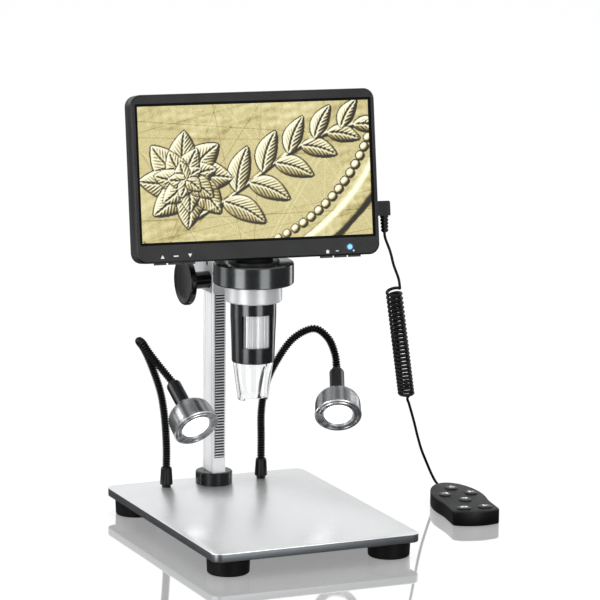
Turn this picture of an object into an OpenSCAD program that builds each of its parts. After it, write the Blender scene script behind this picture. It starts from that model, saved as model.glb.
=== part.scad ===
// LCD digital microscope: a stage with a rack column, a focusing carriage with a ring holder,
// a head with a monitor on a tilting neck, two gooseneck lamps and a wired remote.
// Millimetres. The origin is on the desk under the middle of the stage, +Z up, front towards -Y.

/* [Stage] */
// Width of the stage plate, left to right
plate_w = 141; // [130:1:180]
// Depth of the stage plate, front to back
plate_d = 190; // [185:1:240]
// Thickness of the stage plate
plate_t = 5.6; // [5:0.2:8]
// Corner radius of the stage plate
plate_r = 6; // [2:0.5:12]
// Height of the rubber feet
foot_h = 10.6; // [9:0.2:16]
// Diameter of the rubber feet
foot_d = 27.4; // [20:0.2:30]
// Distance of each foot's centre from the two nearest plate edges
foot_inset = 15.5; // [15.5:0.5:24]
// Diameter of the foot screws
foot_screw_d = 4; // [3:0.5:5]

/* [Column] */
// Width of the column bar, left to right
col_w = 8.6; // [8:0.2:12]
// Depth of the column bar, front to back
col_d = 18.4; // [16:0.2:24]
// Distance of the column's middle from the plate's back edge
col_setback = 17; // [17:0.5:30]
// Length of the column above the stage
col_l = 205; // [190:1:240]
// Width of the grooves in the column's sides
groove_w = 1.2; // [0.6:0.1:2]
// Depth of the grooves in the column's sides
groove_depth = 0.8; // [0.3:0.1:1.2]
// Distance of each side groove from the column's middle
groove_offset = 5.5; // [4:0.1:6.5]
// Diameter of the round flange at the column's foot
flange_d = 24.4; // [24:0.2:32]
// Height of the round flange at the column's foot
flange_h = 8.6; // [5:0.2:12]
// Diameter of the bolts that hold the column
bolt_d = 4; // [3:0.5:4.5]
// Spacing of the two column bolts
bolt_span = 9; // [8.5:0.5:10]

/* [Rack and pinion] */
// Gear module of the rack and the pinion
gear_m = 0.6; // [0.5:0.05:0.7]
// Teeth on the pinion
pinion_teeth = 16; // [14:1:18]
// Width of the rack bar
rack_w = 6.6; // [5:0.2:7]
// Thickness of the rack bar behind its teeth
rack_t = 2; // [1.5:0.1:3]
// Clearance between the flanks of meshed teeth
backlash = 0.2; // [0.12:0.02:0.3]
// Height of the pinion's axis above the stage
pinion_h = 140.7; // [130:0.1:150]
// Diameter of the pinion's shaft
shaft_d = 5; // [4:0.2:6]

/* [Carriage and ring] */
// Width of the carriage block
block_w = 21; // [19:0.5:28]
// Height of the carriage block below the pinion's axis
block_drop = 8.4; // [7.5:0.1:12]
// Height of the carriage block above the pinion's axis
block_rise = 25.3; // [22:0.1:30]
// Wall of the carriage block behind the column
block_back = 5; // [4:0.5:10]
// Wall of the carriage block in front of the pinion's axis
block_front = 6.6; // [6.2:0.1:10]
// Sliding clearance between the carriage and the column, each side
slide_gap = 0.06; // [0.03:0.01:0.1]
// Diameter of the focus knob
knob_d = 31.4; // [26:0.2:36]
// Thickness of the focus knob's rim
knob_t = 4.6; // [3.5:0.1:8]
// Diameter of the focus knob's hub
hub_d = 11.2; // [10:0.2:14]
// Length of the focus knob's hub
hub_l = 13.5; // [8:0.5:16]
// Outer diameter of the ring holder
ring_d = 52; // [46:0.5:60]
// Height of the ring holder
ring_h = 14; // [12:0.2:16]
// Height of the ring's underside above the pinion's axis
ring_lift = 6; // [5:0.1:9]
// Distance of the tube's axis in front of the column's middle
reach = 65.5; // [64:0.5:80]
// Width of the ring holder's arm
arm_w = 17; // [14:0.5:18.5]

/* [Tube] */
// Diameter of the head's spigot in the ring
spigot_d = 29.8; // [29:0.2:32]
// Running clearance of the head in the ring, radial
ring_gap = 0.08; // [0.04:0.01:0.1]
// Diameter of the silver trim ring under the holder
trim_d = 37; // [34:0.2:42]
// Height of the silver trim ring
trim_h = 11.2; // [9:0.2:14]
// Diameter of the tube barrel at its top
barrel_d1 = 29.6; // [29:0.1:31]
// Diameter of the tube barrel at its lower end
barrel_d2 = 27.6; // [27.4:0.1:29]
// Length of the tube barrel
barrel_l = 39.6; // [38:0.2:46]
// Bore of the tube barrel
barrel_bore = 25.9; // [25.5:0.1:26.2]
// Height of the barrel's window for the focus wheel
window_h = 21.6; // [16:0.2:22]
// Distance of the window's lower edge above the barrel's end
window_z = 10.2; // [8:0.2:12]
// Half angle of the window, in degrees
window_half = 45; // [35:1:60]
// Diameter of the focus wheel
wheel_d = 25.2; // [24:0.1:25.4]
// Flutes on the focus wheel
wheel_flutes = 30; // [20:1:36]
// Diameter of the lens cell that the wheel turns on
cell_d = 17.8; // [15:0.1:19]
// Diameter of the clear cap at its top
cap_d1 = 26; // [25:0.1:27]
// Diameter of the clear cap at its lower end
cap_d2 = 19.6; // [17:0.1:23]
// Length of the clear cap below the barrel
cap_l = 25; // [20:0.2:32]
// Wall of the clear cap
cap_wall = 1.3; // [1:0.1:1.8]

/* [Neck and tilt hinge] */
// Diameter of the neck above the ring
neck_d = 24.6; // [22:0.2:26]
// Diameter of the neck where it meets the monitor
neck_top_d = 26.6; // [24:0.2:28]
// Height of the tilt pin above the ring's top
hinge_h = 23.3; // [22:0.1:26]
// Distance of the tilt pin behind the tube's axis
hinge_back = 7; // [6:0.1:9]
// Diameter of the tilt pin
tilt_pin_d = 4; // [3:0.2:5]
// Width of the hinge post
post_w = 24; // [20:0.5:25]

/* [Monitor] */
// Width of the monitor
mon_w = 161; // [160:1:175]
// Height of the monitor
mon_h = 106.8; // [106:0.2:116]
// Thickness of the monitor
mon_t = 20; // [20:0.2:26]
// Corner radius of the monitor
mon_r = 7; // [4:0.5:12]
// Depth of the front bezel shell
bezel_depth = 9; // [8.5:0.1:9.4]
// Wall of the monitor's shells
shell_wall = 2; // [1.5:0.1:2.2]
// Width of the picture
screen_w = 154; // [150:0.5:154.5]
// Height of the picture
screen_h = 88; // [84:0.5:89]
// Height of the picture's middle above the housing's middle
screen_rise = 2.8; // [1.5:0.1:3]
// Black border of the panel seen around the picture
screen_border = 0.8; // [0.4:0.1:1]
// Thickness of the display panel
panel_t = 3.5; // [2.5:0.1:4]
// Height of the picture's middle above the ring's top
screen_lift = 59.3; // [59:0.1:64]
// Distance of the screen in front of the tube's axis
screen_fwd = 4.3; // [4:0.1:7]
// Lean of the monitor, in degrees
lean = 10; // [8:0.5:12]
// Turn of the head about the tube's axis, in degrees
head_yaw = -7.5; // [-15:0.5:15]
// Width of the monitor's keys
key_w = 7.4; // [6:0.1:8]
// Depth of the monitor's keys, front to back
key_d = 4; // [3:0.1:4.5]
// Height of the monitor's keys below its lower edge
key_out = 1.2; // [0.8:0.1:2]
// Spacing of the monitor's keys
key_pitch = 9.4; // [9.2:0.1:10.4]
// Distance of the outermost keys from the monitor's sides
key_outer = 16.2; // [14.6:0.1:20]
// Diameter of the power light
led_d = 3.2; // [2:0.1:4]

/* [Lamps] */
// Distance of each gooseneck's foot from the plate's centre line
lamp_x = 34; // [33.5:0.5:34.5]
// Diameter of the goosenecks over their ribs
neck_tube_d = 5.4; // [5:0.1:5.6]
// Depth of the ribs on the goosenecks
rib_depth = 0.25; // [0.1:0.05:0.4]
// Height of the rubber boots
boot_h = 13.4; // [11:0.2:16]
// Diameter of the rubber boots
boot_d = 8.4; // [8:0.1:10]
// Diameter of the sleeves behind the lamp heads
sleeve_d = 9.8; // [9:0.1:11]
// Length of the sleeves behind the lamp heads
sleeve_l = 18.6; // [16:0.2:24]
// Diameter of the lamp heads
head_d = 31; // [28:0.2:34]
// Length of the lamp heads
head_l = 21; // [19:0.2:24]
// Diameter of the lamp's lens
lens_d = 18.6; // [16:0.2:22]
// Downward aim of the lamps, in degrees
lamp_pitch = 36; // [34:1:38]

/* [Remote] */
// Length of the remote along its middle line
rem_l = 77; // [74:0.5:90]
// Half width of the remote at its front corners
rem_front = 15.9; // [15.5:0.1:20]
// Half width of the remote at its waist
rem_waist = 15.6; // [15:0.1:18]
// Half width of the remote at its belly
rem_belly = 17; // [16.5:0.1:22]
// Distance of the belly from the front
rem_belly_at = 40; // [38:0.5:44]
// Bulge of the remote's front edge
rem_bow = 4.6; // [2:0.1:6]
// Rounding of the remote's front corners
rem_round = 2.4; // [2:0.1:3]
// Height of the remote
rem_h = 10; // [9:0.1:12]
// Height of the seam between the remote's shells
rem_seam = 4.5; // [4:0.1:5]
// Height of the remote's keys above its top
rem_key_out = 1.4; // [0.8:0.1:2]

/* [Hidden] */
$fn = 48;
eps = 0.01;
// Clearance of a screw or pin in its own body's hole, radial
pin_gap = 0.03;
// Running clearance of a turning pin or shaft, radial
run_gap = 0.05;

// Stage
stage_z = foot_h + plate_t;
foot_x = plate_w / 2 - foot_inset;
foot_y = plate_d / 2 - foot_inset;
foot_r = foot_d / 2;
foot_recess_r = 4.2;
foot_recess_h = 4.2;
foot_lip = 0.8;
foot_head_h = 2.4;
blind_depth = 4;
stud_d = 4;
nut_h = 2.4;

// Column
col_y = plate_d / 2 - col_setback;
col_front = col_y - col_d / 2;
col_top = stage_z + col_l;
bolt_depth = 12;
bolt_head_h = 3.6;

// Rack and pinion
pitch = PI * gear_m;
addendum = 0.9 * gear_m;
dedendum = 1.25 * gear_m;
pitch_r = gear_m * pinion_teeth / 2;
root_y = col_front;
pitch_y = root_y - dedendum;
pinion_y = pitch_y - pitch_r;
pinion_z = stage_z + pinion_h;
rack_z0 = stage_z + flange_h;
rack_plain = 10;
rack_z1 = col_top - 3;
teeth_below = floor((pinion_z - rack_z0 - rack_plain) / pitch);
teeth_above = floor((rack_z1 - pinion_z - 2) / pitch);
flank_tan = tan(20);

// Carriage
block_z0 = pinion_z - block_drop;
block_z1 = pinion_z + block_rise;
block_y0 = pinion_y - block_front;
block_y1 = col_y + col_d / 2 + slide_gap + block_back;
block_x = block_w / 2;
pinion_clear = pitch_r + addendum + 0.4;
end_wall = 2;
shaft_reach = hub_l + knob_t * 0.5;
arm_screw_span = 7;
arm_screw_l = 9;
arm_screw_grip = 4.6;
clamp_z = pinion_z + 10.4;
clamp_y = pinion_y + 2.8;
clamp_d = 3.4;
arm_screw_d = 3;

// Ring holder and head
tube_y = col_y - reach;
ring_z0 = pinion_z + ring_lift;
ring_z1 = ring_z0 + ring_h;
flange_r = 16.6;
neck_flange_h = 1;
spigot_r = spigot_d / 2;
trim_z1 = ring_z0 - 0.3;
trim_z0 = trim_z1 - trim_h;
barrel_z0 = trim_z0 - barrel_l;
thread_h = 5;
thread_r = 12.6;
spigot_z0 = trim_z0 + thread_h + 0.3;
window_z0 = barrel_z0 + window_z;
window_z1 = window_z0 + window_h;
wheel_play = 0.1;
cell_z0 = barrel_z0 + 2.6;
sensor_z = window_z1 + 2;
sensor_t = 1.6;
cap_z0 = barrel_z0 - cap_l;
cap_plug_h = 3;
cap_plug_r = barrel_bore / 2 - pin_gap;
led_z = barrel_z0 + 1.2;
led_t = 1.2;
led_count = 8;
glass_r = 5;

// Monitor, in the head's frame
scr_z = ring_z1 + screen_lift;
hinge_z = ring_z1 + hinge_h;
hin_y = (hinge_back + screen_fwd) * cos(lean) - (hinge_z - scr_z) * sin(lean);
hin_z = (hinge_back + screen_fwd) * sin(lean) + (hinge_z - scr_z) * cos(lean);
mon_z0 = -mon_h / 2 - screen_rise;
mon_z1 = mon_h / 2 - screen_rise;
mon_cz = (mon_z0 + mon_z1) / 2;
lip = 1;
seam_y = bezel_depth - lip;
back_y = mon_t - lip;
knuckle_r = 6;
notch_x = post_w / 2 + 5;
notch_wall = 1.5;
notch_top = hin_z + knuckle_r + 3.5;
lug_r = min(5.5, back_y + 3 - hin_y);
lug_l = 5.7;
panel_h = screen_h + 8;
panel_w = mon_w - 2 * shell_wall - 0.4;
board_y = seam_y - 2;
board_t = 1.6;
board_z0 = mon_z0 + 6.2;
board_h = 88;
key_y = 3.8;
key_inner = 1.1;
key_travel = 0.5;
switch_z = mon_z0 + shell_wall + key_inner + key_travel + 0.05;
cover_screw_d = 3;
cover_screw_x = mon_w / 2 - 9;
cover_screw_z = mon_h / 2 - 9;
jack_y = back_y - 6.5;
jack_z = -27;
plug_pin_r = 1.75;
socket_l = 12;
socket_half = 2.4;
plug_len = 11.5;
plug_body = 9.6;
relief_l = 10.8;
relief_r = 2.75;
relief_x = mon_w / 2 + 7.6;
cord_r = 0.9;
cord_gap = 0.15;
cord_grip = 4;
all_key_xs = [for (s = [-1, 1], k = [0 : 2]) s * (mon_w / 2 - key_outer - (s < 0 ? k : 2 - k) * key_pitch)];
led_x = mon_w / 2 - 20.4;
led_zz = mon_z0 + 5.4;

// Lamps: the routes of the goosenecks' middle lines
lamp_yaw_left = 7;
lamp_yaw_right = -22;
end_left = [-36.7, 59.7, 89.9];
end_right = [80.3, 59.1, 89.4];
neck_grip = 6;
boot_bore_depth = 9;
neck_foot = stage_z + boot_h - boot_bore_depth;
neck_rise = [0, 10, 23.6];
neck_r = neck_tube_d / 2;
cavity_depth = 8.8;
lens_depth = 5.9;
function aim_dir(yaw) = [sin(yaw) * cos(lamp_pitch), -cos(yaw) * cos(lamp_pitch), -sin(lamp_pitch)];
function foot_route(x, z) = [x, col_y, z];
route_left = [
  for (rise = neck_rise) foot_route(-lamp_x, neck_foot + rise),
  [-35, 78.5, 62.2], [-37, 80.5, 79.2], [-41, 83.5, 94.2], [-46.5, 85, 108.2], [-51.5, 82.5, 115],
  [-51.5, 76, 114.8], [-48, 71.5, 108.2], [-42.5, 67, 99.8], end_left - 3 * aim_dir(lamp_yaw_left),
  end_left, end_left + neck_grip * aim_dir(lamp_yaw_left)
];
route_right = [
  for (rise = neck_rise) foot_route(lamp_x, neck_foot + rise),
  [34, 78, 62.2], [37, 78, 79.2], [44, 77, 94.7], [55, 74.5, 110.2], [68, 70, 117], [77, 66.5, 110.7],
  [81.5, 65, 100], end_right - 4 * aim_dir(lamp_yaw_right), end_right,
  end_right + neck_grip * aim_dir(lamp_yaw_right)
];

// Remote, in its own frame: front edge at y 0, tip at y rem_l
rem_pos = [140.7, -32];
rem_turn = -9.5;
rem_key_gap = 0.25;
rem_wall = 1.6;
rem_board_z = 4.2;
rem_board_t = 1.2;
rem_waist_at = 20;
rem_cord_x = 0;
cord_reach = 4;

// Cord: route points of the two straight stretches and the coil between them
coil_r = 5.6;
coil_gap = 0.3;
cord_lead = 2.4;
coil_top = [92.5, -2, 155.3];
coil_end = [107.6, 8, 81.3];
route_upper = [[89.5, -2.5, 180.2], [92.3, -2.2, 170.9], [96, -2, 161.7]];
route_lower = [
  [110.9, 12.5, 76], [116.1, 18.5, 67.9], [122.2, 25.5, 57], [128.2, 32.9, 46.1], [135, 40.8, 34.7],
  [142.1, 47.3, 23.8], [148.2, 51.4, 13.8], [152.2, 53, 8]
];

// Flat outlines ---------------------------------------------------------------------------------

// Rectangle with round corners about the origin
module rounded_rect(w, h, r) {
  square([w - 2 * r, h], center = true);
  square([w, h - 2 * r], center = true);
  for (sx = [-1, 1], sy = [-1, 1])
    translate([sx * (w / 2 - r), sy * (h / 2 - r)]) circle(r = r);
}

// Places along Y: the slab stands upright between depths y0 and y1, its middle at height cz
module upright(w, h, r, y0, y1, cz = 0) {
  translate([0, y1, cz]) rotate([90, 0, 0]) linear_extrude(y1 - y0) rounded_rect(w, h, r);
}

// Box between two corners
module box_between(a, b) {
  translate(a) cube(b - a);
}

// Cylinder along X between two places
module rod_x(r, x0, x1) {
  translate([x0, 0, 0]) rotate([0, 90, 0]) cylinder(r = r, h = x1 - x0);
}

// Swept tubes -----------------------------------------------------------------------------------

function unit(v) = v / norm(v);
function spline_at(p, i, t) =
  let (a = p[max(i - 1, 0)], b = p[i], c = p[i + 1], d = p[min(i + 2, len(p) - 1)])
  0.5 * (2 * b + (c - a) * t + (2 * a - 5 * b + 4 * c - d) * t * t + (3 * b - a - 3 * c + d) * t * t * t);
function spline(p, n) =
  concat([for (i = [0 : len(p) - 2], k = [0 : n - 1]) spline_at(p, i, k / n)], [p[len(p) - 1]]);
function tangent(p, i) = unit(p[min(i + 1, len(p) - 1)] - p[max(i - 1, 0)]);
function ring_points(c, t, r, sides, side_ref) =
  let (u = unit(cross(side_ref, t)), v = cross(t, u))
  [for (k = [0 : sides - 1]) c + r * (cos(360 * k / sides) * u + sin(360 * k / sides) * v)];

// Closed tube along points, with one radius for each ring
module swept_tube(path, radii, sides, side_ref) {
  n = len(path);
  points = [for (i = [0 : n - 1]) each ring_points(path[i], tangent(path, i), radii[i], sides, side_ref)];
  walls = [for (i = [0 : n - 2], k = [0 : sides - 1])
    let (k2 = (k + 1) % sides)
    [i * sides + k, (i + 1) * sides + k, (i + 1) * sides + k2, i * sides + k2]];
  split = [for (w = walls) each [[w[0], w[1], w[2]], [w[0], w[2], w[3]]]];
  first = [for (k = [0 : sides - 1]) k];
  last = [for (k = [sides - 1 : -1 : 0]) (n - 1) * sides + k];
  polyhedron(points, concat(split, [first, last]));
}

// Frames ----------------------------------------------------------------------------------------

module in_head() {
  translate([0, tube_y, 0]) rotate([0, 0, head_yaw]) children();
}

module in_monitor() {
  in_head() translate([0, -screen_fwd, scr_z]) rotate([-lean, 0, 0]) children();
}

module in_remote() {
  translate([rem_pos[0], rem_pos[1], 0]) rotate([0, 0, rem_turn]) children();
}

module on_gooseneck(end, yaw) {
  translate(end) rotate([0, 0, yaw]) rotate([90 + lamp_pitch, 0, 0]) children();
}

// Stage -----------------------------------------------------------------------------------------

module at_feet() {
  for (sx = [-1, 1], sy = [-1, 1]) translate([sx * foot_x, sy * foot_y, 0]) children();
}

module at_bolts() {
  for (s = [-1, 1]) translate([0, col_y + s * bolt_span / 2, 0]) children();
}

module at_boots() {
  for (s = [-1, 1]) translate([s * lamp_x, col_y, stage_z]) children();
}

module base_plate() {
  color([0.86, 0.87, 0.88]) difference() {
    translate([0, 0, foot_h]) linear_extrude(plate_t) rounded_rect(plate_w, plate_d, plate_r);
    at_feet() translate([0, 0, foot_h - 1]) cylinder(d = foot_screw_d + 2 * pin_gap, h = 1 + blind_depth);
    at_bolts() translate([0, 0, foot_h - 1]) cylinder(d = bolt_d + 2 * pin_gap, h = plate_t + 2);
    at_boots() translate([0, 0, -plate_t - 1]) cylinder(d = stud_d + 2 * pin_gap, h = plate_t + 2);
  }
}

module rubber_feet() {
  color([0.1, 0.1, 0.1]) at_feet() rotate_extrude() polygon([
    [foot_screw_d / 2 + pin_gap, foot_h], [foot_screw_d / 2 + pin_gap, foot_recess_h],
    [foot_recess_r, foot_recess_h], [foot_recess_r, 0],
    [foot_r - 1.2, 0], [foot_r - 0.4, foot_lip], [foot_r, foot_h - foot_lip], [foot_r - 0.5, foot_h]
  ]);
}

module pan_screw(d, head_d, head_h, l) {
  cylinder(d = d, h = l);
  translate([0, 0, -head_h]) difference() {
    cylinder(d = head_d, h = head_h);
    translate([0, 0, -eps]) cylinder(d = d * 0.6, h = head_h * 0.55, $fn = 6);
  }
}

module base_screws() {
  color([0.5, 0.5, 0.52]) {
    at_feet() translate([0, 0, foot_recess_h])
      pan_screw(foot_screw_d, foot_screw_d * 1.8, foot_head_h, foot_h - foot_recess_h + blind_depth - 0.4);
    at_bolts() translate([0, 0, foot_h])
      pan_screw(bolt_d, bolt_d * 1.75, bolt_head_h, plate_t + bolt_depth - 0.5);
    at_boots() translate([0, 0, -plate_t - nut_h]) difference() {
      cylinder(d = stud_d * 2, h = nut_h, $fn = 6);
      translate([0, 0, -1]) cylinder(d = stud_d + 2 * pin_gap, h = nut_h + 2);
    }
  }
}

// Column and rack -------------------------------------------------------------------------------

module column_outline(grow = 0) {
  translate([0, col_y]) difference() {
    square([col_w + 2 * grow, col_d + 2 * grow], center = true);
    if (grow == 0) {
      for (sx = [-1, 1], sy = [-1, 1])
        translate([sx * col_w / 2, sy * groove_offset]) square([2 * groove_depth, groove_w], center = true);
      translate([-rack_w / 2 - pin_gap, -col_d / 2 - 1]) square([rack_w + 2 * pin_gap, 1 + rack_t]);
    }
  }
}

module column() {
  color([0.8, 0.81, 0.83]) difference() {
    translate([0, 0, stage_z]) linear_extrude(col_l) column_outline();
    at_bolts() translate([0, 0, stage_z - 1]) cylinder(d = bolt_d + 2 * pin_gap, h = 1 + bolt_depth);
  }
}

function rack_tooth(z) =
  let (
    half = pitch / 4 - backlash / 4,
    tip = half - addendum * flank_tan,
    root = half + dedendum * flank_tan
  )
  [[root_y, z - root], [pitch_y - addendum, z - tip], [pitch_y - addendum, z + tip], [root_y, z + root]];

module rack() {
  teeth = [for (k = [-teeth_below : teeth_above]) each rack_tooth(pinion_z + k * pitch)];
  foot = [[root_y + rack_t, rack_z0], [root_y, rack_z0]];
  head = [[root_y, rack_z1], [root_y + rack_t, rack_z1]];
  color([0.55, 0.56, 0.58]) translate([-rack_w / 2, 0, 0]) rotate([90, 0, 90])
    linear_extrude(rack_w) polygon(concat(foot, teeth, head));
}

module column_flange() {
  edge = 1;
  r = flange_d / 2;
  color([0.08, 0.08, 0.08]) difference() {
    translate([0, col_y, stage_z]) rotate_extrude() polygon([
      [0, 0], [r, 0], [r, flange_h - edge], [r - edge * 0.3, flange_h - edge * 0.3], [r - edge, flange_h],
      [0, flange_h]
    ]);
    translate([0, 0, stage_z - 1]) linear_extrude(flange_h + 2) column_outline(pin_gap);
  }
}

// Carriage, pinion and knob ---------------------------------------------------------------------

// Places on the two arm screws' axes, pointing to the front from depth y
module at_arm_screws(y) {
  for (s = [-1, 1]) translate([0, y, ring_z0 + ring_h / 2 + s * arm_screw_span / 2])
    rotate([90, 0, 0]) children();
}

module carriage_block() {
  rack_slot = rack_w / 2 + 0.4;
  color([0.74, 0.75, 0.77]) difference() {
    translate([0, (block_y0 + block_y1) / 2, block_z0]) linear_extrude(block_z1 - block_z0)
      rounded_rect(block_w, block_y1 - block_y0, 1.5);
    translate([0, 0, block_z0 - 1]) linear_extrude(block_z1 - block_z0 + 2) column_outline(slide_gap);
    box_between([-rack_slot, pitch_y - addendum - 0.4, block_z0 - 1],
      [rack_slot, col_front + 1, block_z1 + 1]);
    translate([0, pinion_y, pinion_z]) {
      rod_x(pinion_clear, -rack_slot, rack_slot);
      rod_x(shaft_d / 2 + run_gap, -block_x - 1, block_x - end_wall);
    }
    translate([0, clamp_y, clamp_z]) rod_x(clamp_d / 2 + pin_gap, -block_x - 1, -block_x + 5);
    at_arm_screws(block_y0 + arm_screw_grip + 0.3)
      cylinder(d = arm_screw_d + 2 * pin_gap, h = arm_screw_grip + 2);
  }
}

module carriage_screws() {
  color([0.2, 0.2, 0.2]) {
    translate([0, clamp_y, clamp_z]) difference() {
      rod_x(clamp_d / 2, -block_x + 0.6, -block_x + 5);
      translate([-block_x - 1, 0, 0]) rotate([0, 90, 0]) cylinder(d = clamp_d * 0.6, h = 3.4, $fn = 6);
    }
    at_arm_screws(block_y0 + arm_screw_grip) cylinder(d = arm_screw_d, h = arm_screw_l);
  }
}

module ring_holder() {
  ring_r = ring_d / 2;
  edge = 0.8;
  bore = spigot_r + ring_gap;
  color([0.28, 0.28, 0.3]) difference() {
    union() {
      translate([0, tube_y, ring_z0]) rotate_extrude() polygon([
        [bore, 0], [ring_r - edge, 0], [ring_r, edge], [ring_r, ring_h - edge], [ring_r - edge, ring_h],
        [bore, ring_h]
      ]);
      box_between([-arm_w / 2, tube_y + ring_r - 3, ring_z0], [arm_w / 2, block_y0, ring_z1]);
    }
    at_arm_screws(block_y0 + 1)
      cylinder(d = arm_screw_d + 2 * pin_gap, h = 1 + arm_screw_l - arm_screw_grip + 0.3);
  }
}

// Pinion outline with teeth that clear the rack by the backlash; a gap faces +X
module pinion_outline() {
  n = pinion_teeth;
  tip_r = pitch_r + addendum;
  low_r = pitch_r - dedendum;
  half = 90 / n - backlash / pitch_r * 180 / PI / 4;
  tip_half = half - atan(flank_tan * addendum * 1.15 / pitch_r);
  root_half = half + atan(flank_tan * dedendum * 0.55 / pitch_r);
  flank = [[low_r, root_half], [pitch_r, half], [tip_r, tip_half]];
  tooth = concat([for (q = flank) [q[0], -q[1]]], [for (k = [2 : -1 : 0]) flank[k]]);
  polygon([for (k = [0 : n - 1], q = tooth)
    let (a = (k + 0.5) * 360 / n + q[1]) q[0] * [cos(a), sin(a)]]);
}

module pinion_shaft() {
  face_w = rack_w + 0.6;
  color([0.6, 0.6, 0.62]) translate([0, pinion_y, pinion_z]) {
    translate([-face_w / 2, 0, 0]) rotate([90, 0, 90]) linear_extrude(face_w) pinion_outline();
    rod_x(shaft_d / 2, -block_x - shaft_reach, block_x - end_wall - 0.3);
  }
}

module focus_knob() {
  x0 = -block_x - 0.3;
  x1 = x0 - hub_l;
  x2 = x1 - knob_t;
  r = knob_d / 2;
  color([0.06, 0.06, 0.06]) translate([0, pinion_y, pinion_z]) rotate([0, -90, 0]) difference() {
    rotate_extrude() polygon([
      [0, -x0], [hub_d / 2, -x0], [hub_d / 2, -x1 - 1.2], [hub_d / 2 + 1.2, -x1], [r - 1.2, -x1],
      [r - 0.3, -x1 + 0.4], [r, -x1 + 1.2], [r, -x2 - 1.2], [r - 0.4, -x2 - 0.3], [r - 1.3, -x2],
      [r * 0.72, -x2 - 0.7], [r * 0.4, -x2 - 1.4], [0, -x2 - 1.7]
    ]);
    translate([0, 0, -x0 - 1]) cylinder(d = shaft_d + 2 * pin_gap, h = 1 + shaft_reach);
  }
}

// Head ------------------------------------------------------------------------------------------

module head_neck() {
  cut_y = seam_y + notch_wall + 0.4;
  color([0.07, 0.07, 0.07]) difference() {
    union() {
      in_head() {
        translate([0, 0, spigot_z0]) cylinder(r = spigot_r, h = ring_z1 - spigot_z0);
        translate([0, 0, ring_z1]) cylinder(r = flange_r, h = neck_flange_h);
        translate([0, 0, ring_z1 + neck_flange_h]) cylinder(d1 = neck_d, d2 = neck_top_d, h = 4.4);
        box_between([-post_w / 2, hinge_back - 5.5, ring_z1 + neck_flange_h],
          [post_w / 2, hinge_back + 5.5, hinge_z]);
        translate([0, hinge_back, hinge_z]) rod_x(knuckle_r, -post_w / 2, post_w / 2);
      }
    }
    in_monitor() box_between([-mon_w / 2, -mon_t, mon_z0 - 0.4], [mon_w / 2, cut_y, notch_top]);
    in_head() {
      translate([0, hinge_back, hinge_z]) rod_x(tilt_pin_d / 2 + run_gap, -post_w, post_w);
      translate([0, 0, spigot_z0 - 1]) cylinder(r = thread_r - 1.6, h = ring_z1 - spigot_z0 - 1);
      translate([0, 0, ring_z1 - 3]) cylinder(r = 3, h = 6);
    }
  }
}

module trim_ring() {
  edge = 0.8;
  r = trim_d / 2;
  color([0.82, 0.83, 0.84]) in_head() translate([0, 0, trim_z0]) rotate_extrude() polygon([
    [thread_r + pin_gap, 0], [r - edge, 0], [r, edge], [r, trim_h - edge], [r - edge, trim_h],
    [spigot_r + pin_gap, trim_h], [spigot_r + pin_gap, thread_h + 0.3], [thread_r + pin_gap, thread_h + 0.3]
  ]);
}

module window_wedge(half, z0, z1) {
  far = barrel_d1;
  side = far * sin(half);
  front = -far * cos(half);
  translate([0, 0, z0]) linear_extrude(z1 - z0)
    polygon([[0, 0], [-side, front], [0, -far * 1.5], [side, front]]);
}

module tube_barrel() {
  r1 = barrel_d1 / 2;
  r2 = barrel_d2 / 2;
  bore = barrel_bore / 2;
  edge = 0.5;
  taper_z = barrel_l * 0.45;
  color([0.08, 0.08, 0.08]) in_head() difference() {
    translate([0, 0, barrel_z0]) rotate_extrude() polygon([
      [bore, 0], [r2 - edge, 0], [r2 - edge * 0.3, edge * 0.3], [r2, edge], [r1 - 0.5, taper_z],
      [r1, barrel_l * 0.75], [r1, barrel_l], [thread_r, barrel_l], [thread_r, barrel_l + thread_h],
      [thread_r - 1.6, barrel_l + thread_h], [thread_r - 1.6, barrel_l - 1.5], [bore, barrel_l - 1.5]
    ]);
    difference() {
      window_wedge(window_half, window_z0, window_z1);
      cylinder(r = bore + (r2 - bore) * 0.55, h = ring_z0);
    }
    window_wedge(window_half - 7, window_z0, window_z1);
  }
}

module focus_wheel() {
  r = wheel_d / 2;
  flute_r = PI * wheel_d / wheel_flutes * 0.26;
  color([0.85, 0.86, 0.87]) in_head() translate([0, 0, window_z0 + wheel_play])
    linear_extrude(window_h - 2 * wheel_play) difference() {
      circle(r = r);
      circle(r = cell_d / 2 + run_gap);
      for (k = [0 : wheel_flutes - 1]) rotate(k * 360 / wheel_flutes) translate([r + flute_r * 0.35, 0])
        circle(r = flute_r, $fn = 16);
    }
}

module lens_cell() {
  nose = 3;
  shoulder_z = window_z0 - cell_z0;
  color([0.15, 0.15, 0.15]) in_head() translate([0, 0, cell_z0]) rotate_extrude() polygon([
    [glass_r - 0.8, 0], [cell_d / 2 - 2.4, 0], [cell_d / 2, nose], [cell_d / 2, shoulder_z - 1],
    [wheel_d / 2 - 1.5, shoulder_z - 1], [wheel_d / 2 - 1.5, shoulder_z], [cell_d / 2, shoulder_z],
    [cell_d / 2, sensor_z - cell_z0],
    [cell_d / 2 - 1.6, sensor_z - cell_z0], [cell_d / 2 - 1.6, 6.4], [glass_r + pin_gap, 6.4],
    [glass_r + pin_gap, 2], [glass_r - 0.8, 2]
  ]);
}

module lens_glass() {
  sag = 0.7;
  color([0.8, 0.9, 0.95]) in_head() translate([0, 0, cell_z0 + 2]) rotate_extrude() polygon([
    [0, 0], [glass_r, 0], [glass_r, 3.2 - sag], [glass_r * 0.7, 3.2 - sag * 0.5],
    [glass_r * 0.35, 3.2 - sag * 0.12], [0, 3.2]
  ]);
}

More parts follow.
